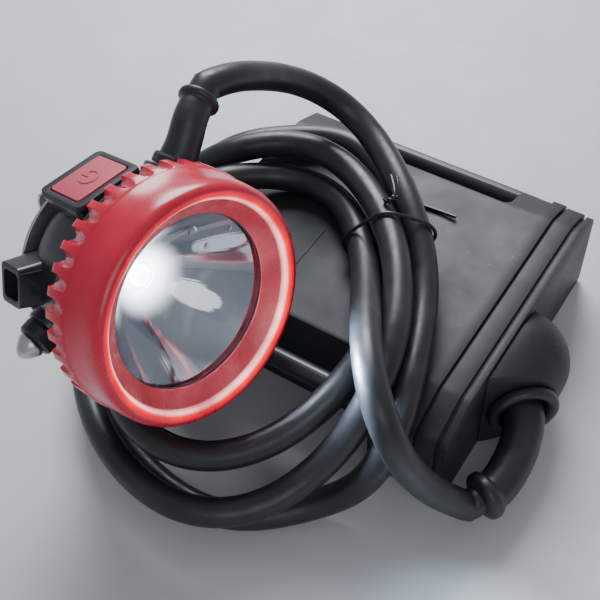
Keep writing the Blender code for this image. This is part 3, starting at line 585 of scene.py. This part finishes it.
BATTERY_BOOT_ROUTE = [
    (70.9, -21.8, 19.4),
    (73.3, -25.0, 18.7),
    (75.9, -33.0, 15.9),
    (76.6, -41.0, 13.6),
    (75.7, -50.0, 12.1),
    (72.8, -56.4, 11.7),
]
HEAD_BOOT_ROUTE = [
    (-44.0, -43.0, 94.3),
    (-44.2, -39.5, 97.4),
    (-45.2, -33.6, 102.6),
    (-46.5, -26.6, 104.7),
]
CABLE_ROUTE = [
    # from the head, down to the tie
    (-47, -23, 106),
    (-48, -14, 108),
    (-44, -11.5, 103),
    (-46, 7.5, 91),
    (-42.5, 23.5, 79),
    (-37, 32, 70),
    (-28.5, 36.5, 62),
    (-15.5, 30, 58),
    (-1.5, 19, 58),
    (10, 8, 57.5),
    (18.5, 1, 54),
    # past the tie
    (24.5, -5.5, 49),
    (29.5, -14.5, 46.5),
    (34.5, -25.5, 45.5),
    (39, -40, 46),
    # over the battery's near edge to the table
    (43.5, -51, 48),
    (47, -65, 43),
    (46, -73, 28),
    (40.5, -75, 15.5),
    (34, -79, 7.5),
    # first turn, on the table
    (27.5, -80.5, 5),
    (23, -88.5, 5),
    (15, -97, 5),
    (4, -104, 5),
    (-11.5, -105, 5),
    (-31, -101.5, 5),
    (-47.5, -95, 5),
    (-59, -87.5, 5),
    # round behind the head
    (-68, -72, 5),
    (-76, -54, 7),
    (-81, -36, 14),
    (-82, -17, 30),
    (-75, -2, 46),
    # back over the battery
    (-61, -1.5, 55.5),
    (-54.5, 10, 56),
    (-45.5, 17.5, 55.5),
    (-32.5, 21, 55.5),
    (-22.5, 18.5, 55),
    (-11, 12, 55),
    (-0.5, 4.5, 55.5),
    (10.5, -5.5, 58.5),
    # second pass of the tie
    (20, -17.5, 58.5),
    (28, -30, 56),
    (34, -44, 57),
    (37, -54.5, 55.5),
    # second turn, on the first
    (37, -63, 47),
    (34.5, -68.5, 37),
    (30, -76, 26),
    (24.5, -85.5, 18),
    (18.5, -96.5, 15.5),
    (11, -105.5, 15),
    (2.5, -110.5, 15),
    (-9.5, -112.5, 15),
    (-25.5, -110.5, 15),
    (-42.5, -104.5, 15),
    (-58, -94.5, 14.5),
    # round behind the head
    (-73, -80, 14),
    (-86, -59, 13.5),
    (-93, -35, 14),
    (-90, -12, 22),
    (-79, 4, 36),
    # back over the battery
    (-67, 14, 49),
    (-58, 17, 50),
    (-54.5, 26, 45),
    (-49, 31, 45),
    (-43, 36, 45),
    (-35.5, 40, 45),
    (-24, 38, 45),
    (-13, 31, 45),
    (-3, 20, 47),
    # third pass of the tie, underneath
    (8, 1.5, 48),
    (16, -12.5, 45),
    (22, -26, 45.5),
    (25.5, -41, 46.5),
    # third turn, on the second
    (26.5, -57, 46),
    (22.5, -66.5, 39),
    (18, -76, 33),
    (10.5, -85.5, 28.5),
    (2, -94, 26),
    (-7, -100, 25.5),
    (-17.5, -102, 26),
    (-31, -100.5, 27),
    # round behind the head
    (-52, -86, 25.5),
    (-63.5, -71, 26),
    (-72, -53, 27),
    (-75, -36, 32),
    (-71, -21, 45),
    # back over the battery
    (-60.5, -11.5, 53),
    (-49.5, 3.5, 46.5),
    (-43, 10, 45),
    (-34.5, 13.5, 45),
    (-23, 12.5, 45),
    (-12.5, 6.5, 45),
    (-2, -5, 48.5),
    # last pass of the tie, down to the battery
    (5, -13, 49.5),
    (16.5, -32, 56),
    (28.5, -53, 65),
    (39, -69.5, 70),
    (47, -77, 65),
    (53.5, -77, 50),
    (59.5, -69, 26),
    (65.5, -64, 14),
    (71, -60, 11.5),
]


def evenly(points, spacing):
    """Points at equal spacing along a polyline."""
    run = [0.0]
    for a, b in zip(points, points[1:]):
        run.append(run[-1] + (b - a).length)
    wanted = np.linspace(0.0, run[-1], max(2, round(run[-1] / spacing)) + 1)
    axes = [np.interp(wanted, run, [p[k] for p in points]) for k in range(3)]
    return [Vector(p) for p in zip(*axes)]


def smooth_route(points, spacing, passes=0, floor=0.0):
    """Evenly spaced points on a smooth curve through route points, eased like rubber."""
    route = [Vector(p) * MM for p in points]
    route = [route[0] * 2 - route[1], *route, route[-1] * 2 - route[-2]]
    fine = []
    for i in range(1, len(route) - 2):
        p0, p1, p2, p3 = route[i - 1 : i + 3]
        t1 = (p1 - p0).length ** 0.5
        t2 = t1 + (p2 - p1).length ** 0.5
        t3 = t2 + (p3 - p2).length ** 0.5
        for k in range(24):
            t = t1 + (t2 - t1) * k / 24
            a1 = p0.lerp(p1, t / t1)
            a2 = p1.lerp(p2, (t - t1) / (t2 - t1))
            a3 = p2.lerp(p3, (t - t2) / (t3 - t2))
            b1 = a1.lerp(a2, t / t2)
            b2 = a2.lerp(a3, (t - t1) / (t3 - t1))
            fine.append(b1.lerp(b2, (t - t1) / (t2 - t1)))
    fine.append(route[-2])
    fine = np.array([tuple(p) for p in evenly(fine, 2.5 * MM)])
    for _ in range(passes):
        fine[1:-1] = fine[1:-1] / 2 + (fine[:-2] + fine[2:]) / 4
        fine[:, 2] = np.maximum(fine[:, 2], floor)
    return evenly([Vector(p) for p in fine], spacing)


def tube_curve(name, points, diameter, widths=None, cyclic=False, round_steps=6):
    """A round tube as a curve with filled ends; widths scale each point."""
    curve = bpy.data.curves.new(name, "CURVE")
    curve.dimensions = "3D"
    curve.bevel_depth = diameter / 2
    curve.bevel_resolution = round_steps
    curve.use_fill_caps = not cyclic
    curve.twist_mode = "MINIMUM"
    spline = curve.splines.new("POLY")
    spline.points.add(len(points) - 1)
    spline.use_cyclic_u = cyclic
    spline.use_smooth = True
    for k, point in enumerate(points):
        spline.points[k].co = (*point, 1.0)
        spline.points[k].radius = widths[k] if widths else 1.0
    return bpy.data.objects.new(name, curve)


def boot(name, route, diameter, stands_for, bulge):
    """A moulded strain relief: a tapering sleeve, shallow rings and a rolled collar."""
    points = smooth_route(route, 0.35 * MM)
    root = points[0] * 2 - points[12]
    points = [root.lerp(points[0], k / 12) for k in range(12)] + points
    count = len(points)
    widths = []
    for k in range(count):
        along = k / (count - 1)
        width = 1.0 - 0.09 * along + bulge * math.exp(-((along - 0.12) / 0.12) ** 2)
        collar = math.exp(-(((along - 0.93) / 0.055) ** 4))
        width = max(width, 0.91 + 0.25 * collar) if along > 0.8 else width
        if along > 0.975:
            width *= 1.0 - 0.22 * ((along - 0.975) / 0.025) ** 2
        widths.append(width)
    mesh = evaluated(tube_curve(name, points, diameter, widths, round_steps=10))
    piece(name, mesh, FINISHES["cable_rubber"], "cable_rubber", (stands_for,), sharp=50.0)


def cable():
    """The two-core cable, drawn through both boots' mouths."""
    route = smooth_route(CABLE_ROUTE, 1.6 * MM, 64, CABLE_D / 2 + 0.1 * MM)
    start = Vector(HEAD_BOOT_ROUTE[-1]) * MM
    end = Vector(BATTERY_BOOT_ROUTE[-1]) * MM
    points = [start.lerp(route[0], k / 3) for k in range(3)] + route
    points += [route[-1].lerp(end, k / 3) for k in range(1, 4)]
    shown = tube_curve("cable_run", points, CABLE_D, round_steps=8)
    bpy.context.scene.collection.objects.link(shown)
    shown.data.materials.append(FINISHES["cable_rubber"])
    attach(shown, BODY)
    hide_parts("cable")
    length = sum((b - a).length for a, b in zip(points, points[1:]))
    return shown, points, length


def wire(name, points, diameter, cyclic=False):
    return evaluated(tube_curve(name, points, diameter, cyclic=cyclic, round_steps=3))


def tie_loop(run):
    """A loop drawn tight round the strands that cross the tie's plane."""
    centre = TIE_CENTRE
    across = TIE_AXIS.cross(Vector((0, 0, 1))).normalized()
    up = across.cross(TIE_AXIS)
    skin = []
    for a, b in zip(run, run[1:]):
        if (a - centre).length > 30 * MM or abs((a - centre).dot(TIE_AXIS)) > 8 * MM:
            continue
        side = (b - a).orthogonal().normalized()
        for turn in range(36):
            out = Quaternion(b - a, math.pi * turn / 18) @ side
            point = a + out * CABLE_D / 2 - centre
            if abs(point.dot(TIE_AXIS)) < 1.8 * MM:
                skin.append((point.dot(across), point.dot(up)))
    reach = TIE_D / 2 + 0.15 * MM
    loop = []
    for k in range(72):
        c, s = math.cos(math.pi * k / 36), math.sin(math.pi * k / 36)
        x, y = max(skin, key=lambda p: p[0] * c + p[1] * s)
        loop.append(centre + across * (x + reach * c) + up * (y + reach * s))
    return evenly([*loop, loop[0]], 1.2 * MM)[:-1]


# The tie's knot, its two upright ends and the length that lies on the battery's top.
TIE_TWIST = [(4.5, 0.5, 62.5), (6.2, 0.6, 64.0), (7.6, 1.6, 64.8)]
TIE_ENDS = [
    [(7.6, 1.6, 64.8), (5.2, 5.2, 65.4), (1.2, 10.2, 64.6)],
    [(7.6, 1.6, 64.8), (7.0, 5.0, 66.2), (4.4, 8.6, 66.8)],
]
TIE_TAIL = [(2.0, 24.6, 40.8), (8.5, 25.2, 40.8), (14.0, 25.6, 40.8), (19.9, 25.5, 41.2)]


def cable_tie(run):
    """A wire tie: one turn round the bundle, a twisted knot, two ends and a loose length."""
    meshes = [wire("loop", tie_loop(run), TIE_D, True)]
    for end in (TIE_TWIST, *TIE_ENDS, TIE_TAIL):
        meshes.append(wire("end", smooth_route(end, 0.8 * MM), TIE_D))
    twist = []
    for k, point in enumerate(smooth_route(TIE_TWIST, 0.25 * MM)):
        turn = 2.4 * k
        side = Vector((math.cos(turn), math.sin(turn), 0.4 * math.sin(turn)))
        twist.append(point + side * TIE_D * 0.75)
    meshes.append(wire("twist", twist, TIE_D))
    piece("tie_wire", joined(meshes), FINISHES["tie_plastic"], "tie_plastic", ("cable_tie",))


def cords():
    shown, points, length = cable()
    cable_tie(points)
    boot("head_boot_sleeve", HEAD_BOOT_ROUTE, HEAD_BOOT_D, "head_boot", 0.06)
    boot("battery_boot_sleeve", BATTERY_BOOT_ROUTE, BATTERY_BOOT_D, "battery_boot", 0.0)


# ---------------------------------------------------------------- lamp head


def bezel():
    """The screw-on front ring with a scooped grip round its rear edge."""
    profile = [(33.2, 4.4), (33.7, 5.0), (34.4, 5.45), (35.2, 5.75), (35.9, 5.8), (36.6, 5.55)]
    profile += [(37.3, 5.0), (37.8, 4.2), (38.1, 3.2), (38.3, 1.5), (38.5, -1.0), (38.7, -8.4)]
    profile += [(39.0, -9.0), (39.4, -9.6), (39.4, -16.4), (39.2, -17.2), (38.8, -17.6)]
    profile += [(36.7, -17.6), (36.7, -5.1), (31.2, -5.1), (31.2, -0.8), (27.6, -0.8)]
    profile += [(27.7, -0.4), (28.2, -0.1), (32.2, 2.6), (32.8, 3.4)]
    ring = revolve(in_mm(profile), 240)
    tail, tip = Vector((37.9, 0.0, -19.5)) * MM, Vector((42.0, 0.0, -7.5)) * MM
    scoop = moved(disc(2.2 * MM, 0.0, (tip - tail).length, 24), turned(tip - tail, tail))
    notches = []
    for k in range(BEZEL_TEETH):
        turn = Matrix.Rotation(2 * math.pi * k / BEZEL_TEETH, 4, "Z")
        notches.append(moved(scoop.copy(), turn))
    ring = combine(ring, [joined(notches)], "DIFFERENCE")
    ring = rounded(ring, 0.45 * MM, 2, 40.0)
    piece("bezel_front", ring, FINISHES["red_plastic"], "red_plastic", ("bezel_ring",), HEAD)


REFLECTOR_RIM_R = 27.2
REFLECTOR_HOLE_R = 5.0
REFLECTOR_HOLE_A = -26.4
REFLECTOR_FOCUS = 8.0
REFLECTOR_WALL = 1.1


def lens_window():
    """The flat clear window."""
    profile = [(0, -2.2), (30.4, -2.2), (30.7, -2.5), (30.7, -3.3), (30.4, -3.6), (0, -3.6)]
    window = revolve(in_mm(profile), 128)
    piece("lens_window", window, FINISHES["clear_lens"], "clear_lens", ("lens",), HEAD)


def reflector():
    """A parabolic shell with a flat flange behind the lens."""
    inner, outer = [], []
    for k in range(41):
        r = REFLECTOR_RIM_R - (REFLECTOR_RIM_R - REFLECTOR_HOLE_R) * k / 40
        a = REFLECTOR_HOLE_A + (r * r - REFLECTOR_HOLE_R**2) / (4 * REFLECTOR_FOCUS)
        slope = r / (2 * REFLECTOR_FOCUS)
        length = math.hypot(1.0, slope)
        inner.append((r, a))
        outer.append((r + REFLECTOR_WALL * slope / length, a - REFLECTOR_WALL / length))
    profile = inner + outer[::-1][:-1]
    profile += [(29.0, -6.6), (35.8, -6.6), (35.8, -5.4), (28.7, -5.4)]
    shell = revolve(in_mm(profile), 160)
    args = (FINISHES["reflector_chrome"], "reflector_chrome")
    piece("reflector_shell", shell, *args, ("reflector",), HEAD)


def emitter():
    """The LED: a low dome on a short round base."""
    dome = [(0.0, -23.8)]
    for turn in np.linspace(0.15, math.pi / 2, 12):
        dome.append((2.6 * math.sin(turn), -26.2 + 2.4 * math.cos(turn)))
    dome += [(3.4, -26.2), (3.4, -27.5), (0.0, -27.5)]
    led = revolve(in_mm(dome), 48)
    piece("led_dome", led, FINISHES["led_yellow"], "led_yellow", ("led_emitter",), HEAD)


def lens_seal():
    profile = [(27.5, -1.15), (30.6, -1.15), (30.9, -1.5)]
    profile += [(30.6, -1.85), (27.5, -1.85), (27.3, -1.5)]
    seal = revolve(in_mm(profile), 128)
    piece("lens_seal_ring", seal, FINISHES["seal_rubber"], "seal_rubber", ("lens_seal",), HEAD)


# X, Y and radius, in millimetres, of the drops on the lens.
DROPS = [(9.0, 20.0, 1.5), (12.0, 12.5, 1.1), (21.5, 12.5, 0.9), (8.5, 12.2, 0.5)]


def droplets():
    """Dried drops on the lens, as clear flat domes."""
    drops = []
    for x, y, radius in DROPS:
        dome = []
        for turn in np.linspace(0, math.pi / 2, 9):
            dome.append((radius * math.sin(turn), 0.35 * radius * math.cos(turn)))
        dome = revolve(in_mm(dome + [(0.0, 0.0)]), 32)
        drops.append(moved(dome, Matrix.Translation((x * MM, y * MM, -2.2 * MM))))
    piece("lens_drops", joined(drops), FINISHES["clear_lens"], "clear_lens", (), HEAD)


def housing():
    """The head's shell with its switch tower, gland boss, lug and pin seat."""
    outer = [(0.0, -7.8), (36.2, -7.8), (36.2, -18.6), (34.8, -20.0), (31.6, -21.6), (31.0, -22.8)]
    outer += [(30.7, -26.0), (29.6, -34.0), (28.7, -39.0), (27.4, -42.4), (25.6, -44.8)]
    outer += [(23.6, -46.3), (21.2, -47.2), (18.0, -47.5), (0.0, -47.5)]
    inside = [(0.0, 0.0), (33.4, 0.0), (33.4, -17.0), (28.2, -22.0), (26.8, -34.0)]
    inside += [(25.2, -41.0), (20.4, -44.8), (0.0, -45.0)]
    shell = revolve(in_mm(outer), 128)
    tower = prism(rounded_rectangle(SWITCH_W * 0.84, SWITCH_L * 0.84, 2 * MM), 0, 8 * MM, 1.19)
    switch_frame = Matrix.Rotation(-math.pi / 2, 4, "X")
    tower = moved(tower, Matrix.Translation((0, SWITCH_TOP - 8 * MM, SWITCH_A)) @ switch_frame)
    boss = moved(disc(9.0 * MM, 24.0 * MM, 34.6 * MM, 64, 0.8 * MM), radial(GLAND_ANGLE, GLAND_A))
    lug = prism(rounded_rectangle(15 * MM, 12 * MM, 2 * MM), 22 * MM, 36 * MM, 0.86)
    lug = moved(lug, radial(LUG_ANGLE, LUG_A))
    seat = moved(disc(7.0 * MM, 20.0 * MM, 31.0 * MM, 64), radial(PIN_ANGLE, PIN_A))
    shell = combine(shell, [tower, boss, lug, seat], "UNION")
    opening = rounded_rectangle(BUTTON_W + 0.8 * MM, BUTTON_L + 0.8 * MM, 1.4 * MM)
    pocket = prism(opening, 29 * MM, 60 * MM)
    pocket = moved(pocket, Matrix.Translation((0, 0, SWITCH_A)) @ switch_frame)
    bore = moved(disc(3.4 * MM, 20.0 * MM, 60 * MM, 40), radial(GLAND_ANGLE, GLAND_A))
    recess = prism(rounded_rectangle(8.4 * MM, 7.4 * MM, 1.4 * MM), 30.6 * MM, 60 * MM, 1.3)
    recess = moved(recess, radial(LUG_ANGLE, LUG_A))
    stem = moved(disc(2.3 * MM, 20.0 * MM, 60 * MM, 40), radial(PIN_ANGLE, PIN_A))
    shell = combine(shell, [revolve(in_mm(inside), 128), pocket, bore, recess, stem], "DIFFERENCE")
    shell = rounded(shell, 0.5 * MM, 3)
    piece("head_shell", shell, FINISHES["head_plastic"], "head_plastic", ("head_housing",), HEAD)


def hook():
    """Steel back plate with a raised tongue that slips over the cap's bracket."""
    plate = disc(28.4 * MM, -49.0 * MM, -47.8 * MM, 128, 0.3 * MM)
    line = [(4.0, -48.0), (6.5, -48.8), (8.0, -50.2), (9.4, -53.0), (10.6, -54.8), (12.0, -55.7)]
    line += [(13.8, -56.0), (19.0, -56.0), (21.8, -55.7), (24.4, -54.8), (27.5, -52.2)]
    outline = in_mm(line)
    back = [(y, a - 1.2 * MM) for y, a in reversed(outline)]
    tongue = moved(prism(outline + back, -8.5 * MM, 8.5 * MM), ALONG_X)
    plate = rounded(combine(plate, [tongue], "UNION"), 0.25 * MM, 2)
    piece("hook_plate", plate, FINISHES["steel"], "steel", ("cap_hook",), HEAD)


def switch():
    """The glossy surround and the red button inside it."""
    face = Matrix.Rotation(-math.pi / 2, 4, "X")
    surround = prism(rounded_rectangle(SWITCH_W, SWITCH_L, 2.2 * MM), 0, 1.5 * MM, 0.975)
    opening = rounded_rectangle(BUTTON_W + 0.7 * MM, BUTTON_L + 0.7 * MM, 1.4 * MM)
    hole = prism(opening, -5 * MM, 5 * MM)
    surround = rounded(combine(surround, [hole], "DIFFERENCE"), 0.4 * MM)
    surround = moved(surround, Matrix.Translation((0, SWITCH_TOP + 0.15 * MM, SWITCH_A)) @ face)
    args = (FINISHES["black_plastic"], "black_plastic")
    piece("switch_surround", surround, *args, ("switch_frame",), HEAD)
    cap = prism(rounded_rectangle(BUTTON_W, BUTTON_L, 1.2 * MM), 0, 3.9 * MM, 0.985)
    cap = rounded(cap, 0.5 * MM)
    place = HEAD @ Matrix.Translation((0, 31.2 * MM, SWITCH_A)) @ face
    args = (FINISHES["button_rubber"], "button_rubber")
    piece("button_cap", cap, *args, ("switch_button",), place, BUTTON_BODY)
    power_symbol(place)


def power_symbol(place):
    """The usual on-off sign, moulded just proud of the button."""
    radius, line = 3.0 * MM, 0.55 * MM
    arc = []
    for k in range(33):
        turn = math.radians(90 + 38 + (360 - 76) * k / 32)
        arc.append(Vector((radius * math.cos(turn), radius * math.sin(turn), 3.92 * MM)))
    bar = [Vector((0, y * MM, 3.92 * MM)) for y in (0.6, 2.0, 3.6)]
    signs = joined([wire("arc", arc, line), wire("bar", bar, line)])
    piece("button_sign", signs, FINISHES["button_rubber"], "button_rubber", (), place, BUTTON_BODY)


def pin():
    """The conical charging contact."""
    cone = [(0, 42.1), (0.8, 42.0), (1.6, 41.6), (3.1, 40.0), (4.2, 38.0), (4.5, 37.2), (4.4, 36.6)]
    cone += [(4.0, 36.3), (2.0, 36.3), (2.0, 28.6), (0, 28.6)]
    place = HEAD @ radial(PIN_ANGLE, PIN_A)
    args = (FINISHES["steel"], "steel")
    piece("charge_contact", revolve(in_mm(cone), 64), *args, ("contact_pin",), place)


# ---------------------------------------------------------------- battery


def end_section(grow=0.0, base=1.6 * MM):
    """The battery's outline seen along X: flat top, sloped shoulders, eased base."""
    half, top = CASE_HALF_WIDTH + grow, CASE_HEIGHT + grow
    side = [
        (half - base, 0.0 - min(grow, 0.0)),
        (half, base),
        (half, SHOULDER_HEIGHT - 4.2 * MM + grow),
        (half - 0.3 * MM, SHOULDER_HEIGHT - 2.8 * MM + grow),
        (half - 0.9 * MM, SHOULDER_HEIGHT - 1.7 * MM + grow),
        (half - 1.9 * MM, SHOULDER_HEIGHT - 0.6 * MM + grow),
        (half - 3.2 * MM, SHOULDER_HEIGHT + 0.2 * MM + grow),
        (TOP_HALF_WIDTH + 1.0 * MM, top - 0.3 * MM),
        (TOP_HALF_WIDTH - 1.0 * MM, top),
    ]
    return side + [(-y, z) for y, z in reversed(side)]


def slab_along_x(outline, start, end):
    return moved(prism(outline, start, end), ALONG_X)


def battery_case():
    """The hollow case with a belt slot and a bar's sockets on each long side."""
    body = slab_along_x(end_section(), CASE_LEFT, CASE_RIGHT)
    flange = slab_along_x(end_section(FLANGE_PROUD), CASE_RIGHT - FLANGE_LENGTH, CASE_RIGHT)
    body = combine(body, [flange], "UNION")
    slot_width = CASE_HALF_WIDTH - TOP_HALF_WIDTH + 10 * MM
    cutters = []
    for side in (-1, 1):
        opening = rounded_rectangle(2 * SLOT_HALF_LENGTH, 2 * slot_width, 3 * MM)
        slot = prism(opening, -10 * MM, 60 * MM)
        shift = Matrix.Translation((0.0, side * (TOP_HALF_WIDTH + slot_width), 0.0))
        cutters.append(moved(slot, shift))
        reach = SLOT_HALF_LENGTH + 7 * MM
        socket = moved(disc(BELT_BAR_D / 2 + 0.3 * MM, -reach, reach), ALONG_X)
        cutters.append(moved(socket, Matrix.Translation((0.0, side * BELT_BAR_Y, BELT_BAR_Z))))
    half = TOP_HALF_WIDTH - CASE_WALL
    hollow = [(-half, CASE_WALL), (half, CASE_WALL)]
    hollow += [(half, CASE_HEIGHT - CASE_WALL), (-half, CASE_HEIGHT - CASE_WALL)]
    cutters.append(slab_along_x(hollow, CASE_LEFT + CASE_WALL, CASE_RIGHT + 5 * MM))
    body = combine(body, cutters, "DIFFERENCE")
    seam = block((0.35 * MM, 38 * MM, 0.5 * MM), (-17.4 * MM, -22 * MM, CASE_HEIGHT))
    body = rounded(body, 0.7 * MM)
    body = combine(body, [seam], "DIFFERENCE")
    piece("case_shell", body, FINISHES["black_plastic"], "black_plastic", ("battery_case",))


def battery_cap():
    """The end cap: two flat bands with a groove between them."""
    groove_end = CAP_GROOVE + CAP_GROOVE_W
    wide = slab_along_x(end_section(0.3 * MM), CAP_START, CAP_GROOVE)
    neck = slab_along_x(end_section(-0.9 * MM), CAP_GROOVE - 0.3 * MM, groove_end + 0.3 * MM)
    face = slab_along_x(end_section(0.0), groove_end, CAP_END)
    cap = rounded(combine(wide, [neck, face], "UNION"), 0.6 * MM)
    piece("end_cap", cap, FINISHES["black_plastic"], "black_plastic", ("battery_cap",))


def outlet_hood():
    """The half-dome that guides the cable out of the end cap, with its slanted mouth."""
    mouth_edge = Vector((HOOD_R, HOOD_MOUTH_OUTER_Y - HOOD_MOUTH_INNER_Y, 0.0))
    mouth_axis = Vector((mouth_edge.y, -mouth_edge.x, 0.0)).normalized()
    middle = (HOOD_MOUTH_INNER_Y + HOOD_MOUTH_OUTER_Y) / 2 + 0.8 * MM
    mouth = Vector((CAP_END + 10.2 * MM, middle, HOOD_Z - 0.6 * MM))
    body = []
    for k in range(25):
        turn = math.pi / 2 * k / 24
        body.append((HOOD_R * math.sin(turn), HOOD_R * (1 - math.cos(turn))))
    body += [(HOOD_R, 70 * MM), (0.0, 70 * MM)]
    dome = revolve(body[::-1], 96)
    dome = moved(dome, turned((0, -1, 0), (CAP_END + 0.3 * MM, HOOD_BACK_Y, HOOD_Z)))
    behind = block((60 * MM, 160 * MM, 60 * MM), (CAP_END + 0.3 * MM - 30 * MM, 0, HOOD_Z))
    slanted = block((80 * MM, 80 * MM, 60 * MM), (0, -40 * MM, 0))
    slanted = moved(slanted, Matrix.Rotation(math.atan2(mouth_edge.y, mouth_edge.x), 4, "Z"))
    slanted = moved(slanted, Matrix.Translation((CAP_END, HOOD_MOUTH_INNER_Y, HOOD_Z)))
    hollow = moved(disc(11.4 * MM, -5 * MM, 30 * MM), turned(mouth_axis, mouth))
    throat = moved(disc(8.4 * MM, -12 * MM, 0.0), turned(mouth_axis, mouth))
    hood = combine(dome, [behind, slanted, hollow, throat], "DIFFERENCE")
    hood = rounded(hood, 0.9 * MM)
    piece("outlet_dome", hood, FINISHES["black_plastic"], "black_plastic", ("cable_outlet_hood",))
    grommet = [(7.9, -2.6), (11.0, -2.6), (11.0, 0.4), (11.7, 0.4), (12.0, 0.8), (12.1, 1.4)]
    grommet += [(12.0, 2.6), (11.7, 3.3), (11.1, 3.75), (9.9, 3.8), (9.0, 3.55), (8.3, 2.9), (7.9, 1.6)]
    grommet = moved(revolve(in_mm(grommet), 96), turned(mouth_axis, mouth))
    piece("outlet_grommet", grommet, FINISHES["cable_rubber"], "cable_rubber", ("battery_gland_nut",))


# ---------------------------------------------------------------- floor and light


def floor():
    """A pale table top with a faint speckle."""
    mesh = bpy.data.meshes.new("table")
    work = bmesh.new()
    bmesh.ops.create_grid(work, x_segments=1, y_segments=1, size=3.0)
    work.to_mesh(mesh)
    work.free()
    table = bpy.data.objects.new("table", mesh)
    table.location.z = -0.05 * MM
    bpy.context.scene.collection.objects.link(table)
    finish = Finish("table", (0.56, 0.565, 0.58), 0.5)
    finish.mottle(60 * MM, 0.05).polish(20 * MM, 0.05).grain(0.8 * MM, 0.01 * MM)
    mesh.materials.append(finish.material)


def area_light(name, place, size, energy, colour=(1.0, 1.0, 1.0)):
    """A round soft light aimed at the origin."""
    light = bpy.data.lights.new(name, "AREA")
    light.shape = "DISK"
    light.size = size
    light.energy = energy
    light.color = colour
    holder = bpy.data.objects.new(name, light)
    bpy.context.scene.collection.objects.link(holder)
    holder.matrix_world = turned(place, place)


def beam():
    """The lamp's own light, from just in front of the lens."""
    light = bpy.data.lights.new("beam", "SPOT")
    light.energy = 3.6
    light.color = (0.62, 0.78, 1.0)
    light.spot_size = math.radians(130)
    light.spot_blend = 0.9
    light.shadow_soft_size = 14 * MM
    holder = bpy.data.objects.new("beam", light)
    bpy.context.scene.collection.objects.link(holder)
    holder.matrix_world = turned(-FRONT, HEAD @ Vector((0, 0, 7 * MM)))


def studio():
    """An even pale surround, two soft lights and the lamp's beam."""
    world = bpy.data.worlds.new("studio")
    world.use_nodes = True
    background = world.node_tree.nodes["Background"]
    background.inputs["Color"].default_value = (0.80, 0.86, 0.95, 1.0)
    background.inputs["Strength"].default_value = 0.42
    bpy.context.scene.world = world
    area_light("key", (-0.55, 0.80, 0.85), 0.8, 24.0, (0.95, 0.98, 1.0))
    area_light("fill", (0.7, -0.9, 0.9), 1.0, 4.0)
    beam()


dress_frame()
cords()
bezel()
lens_window()
reflector()
emitter()
lens_seal()
droplets()
housing()
hook()
switch()
pin()
battery_case()
battery_cap()
outlet_hood()
floor()
studio()
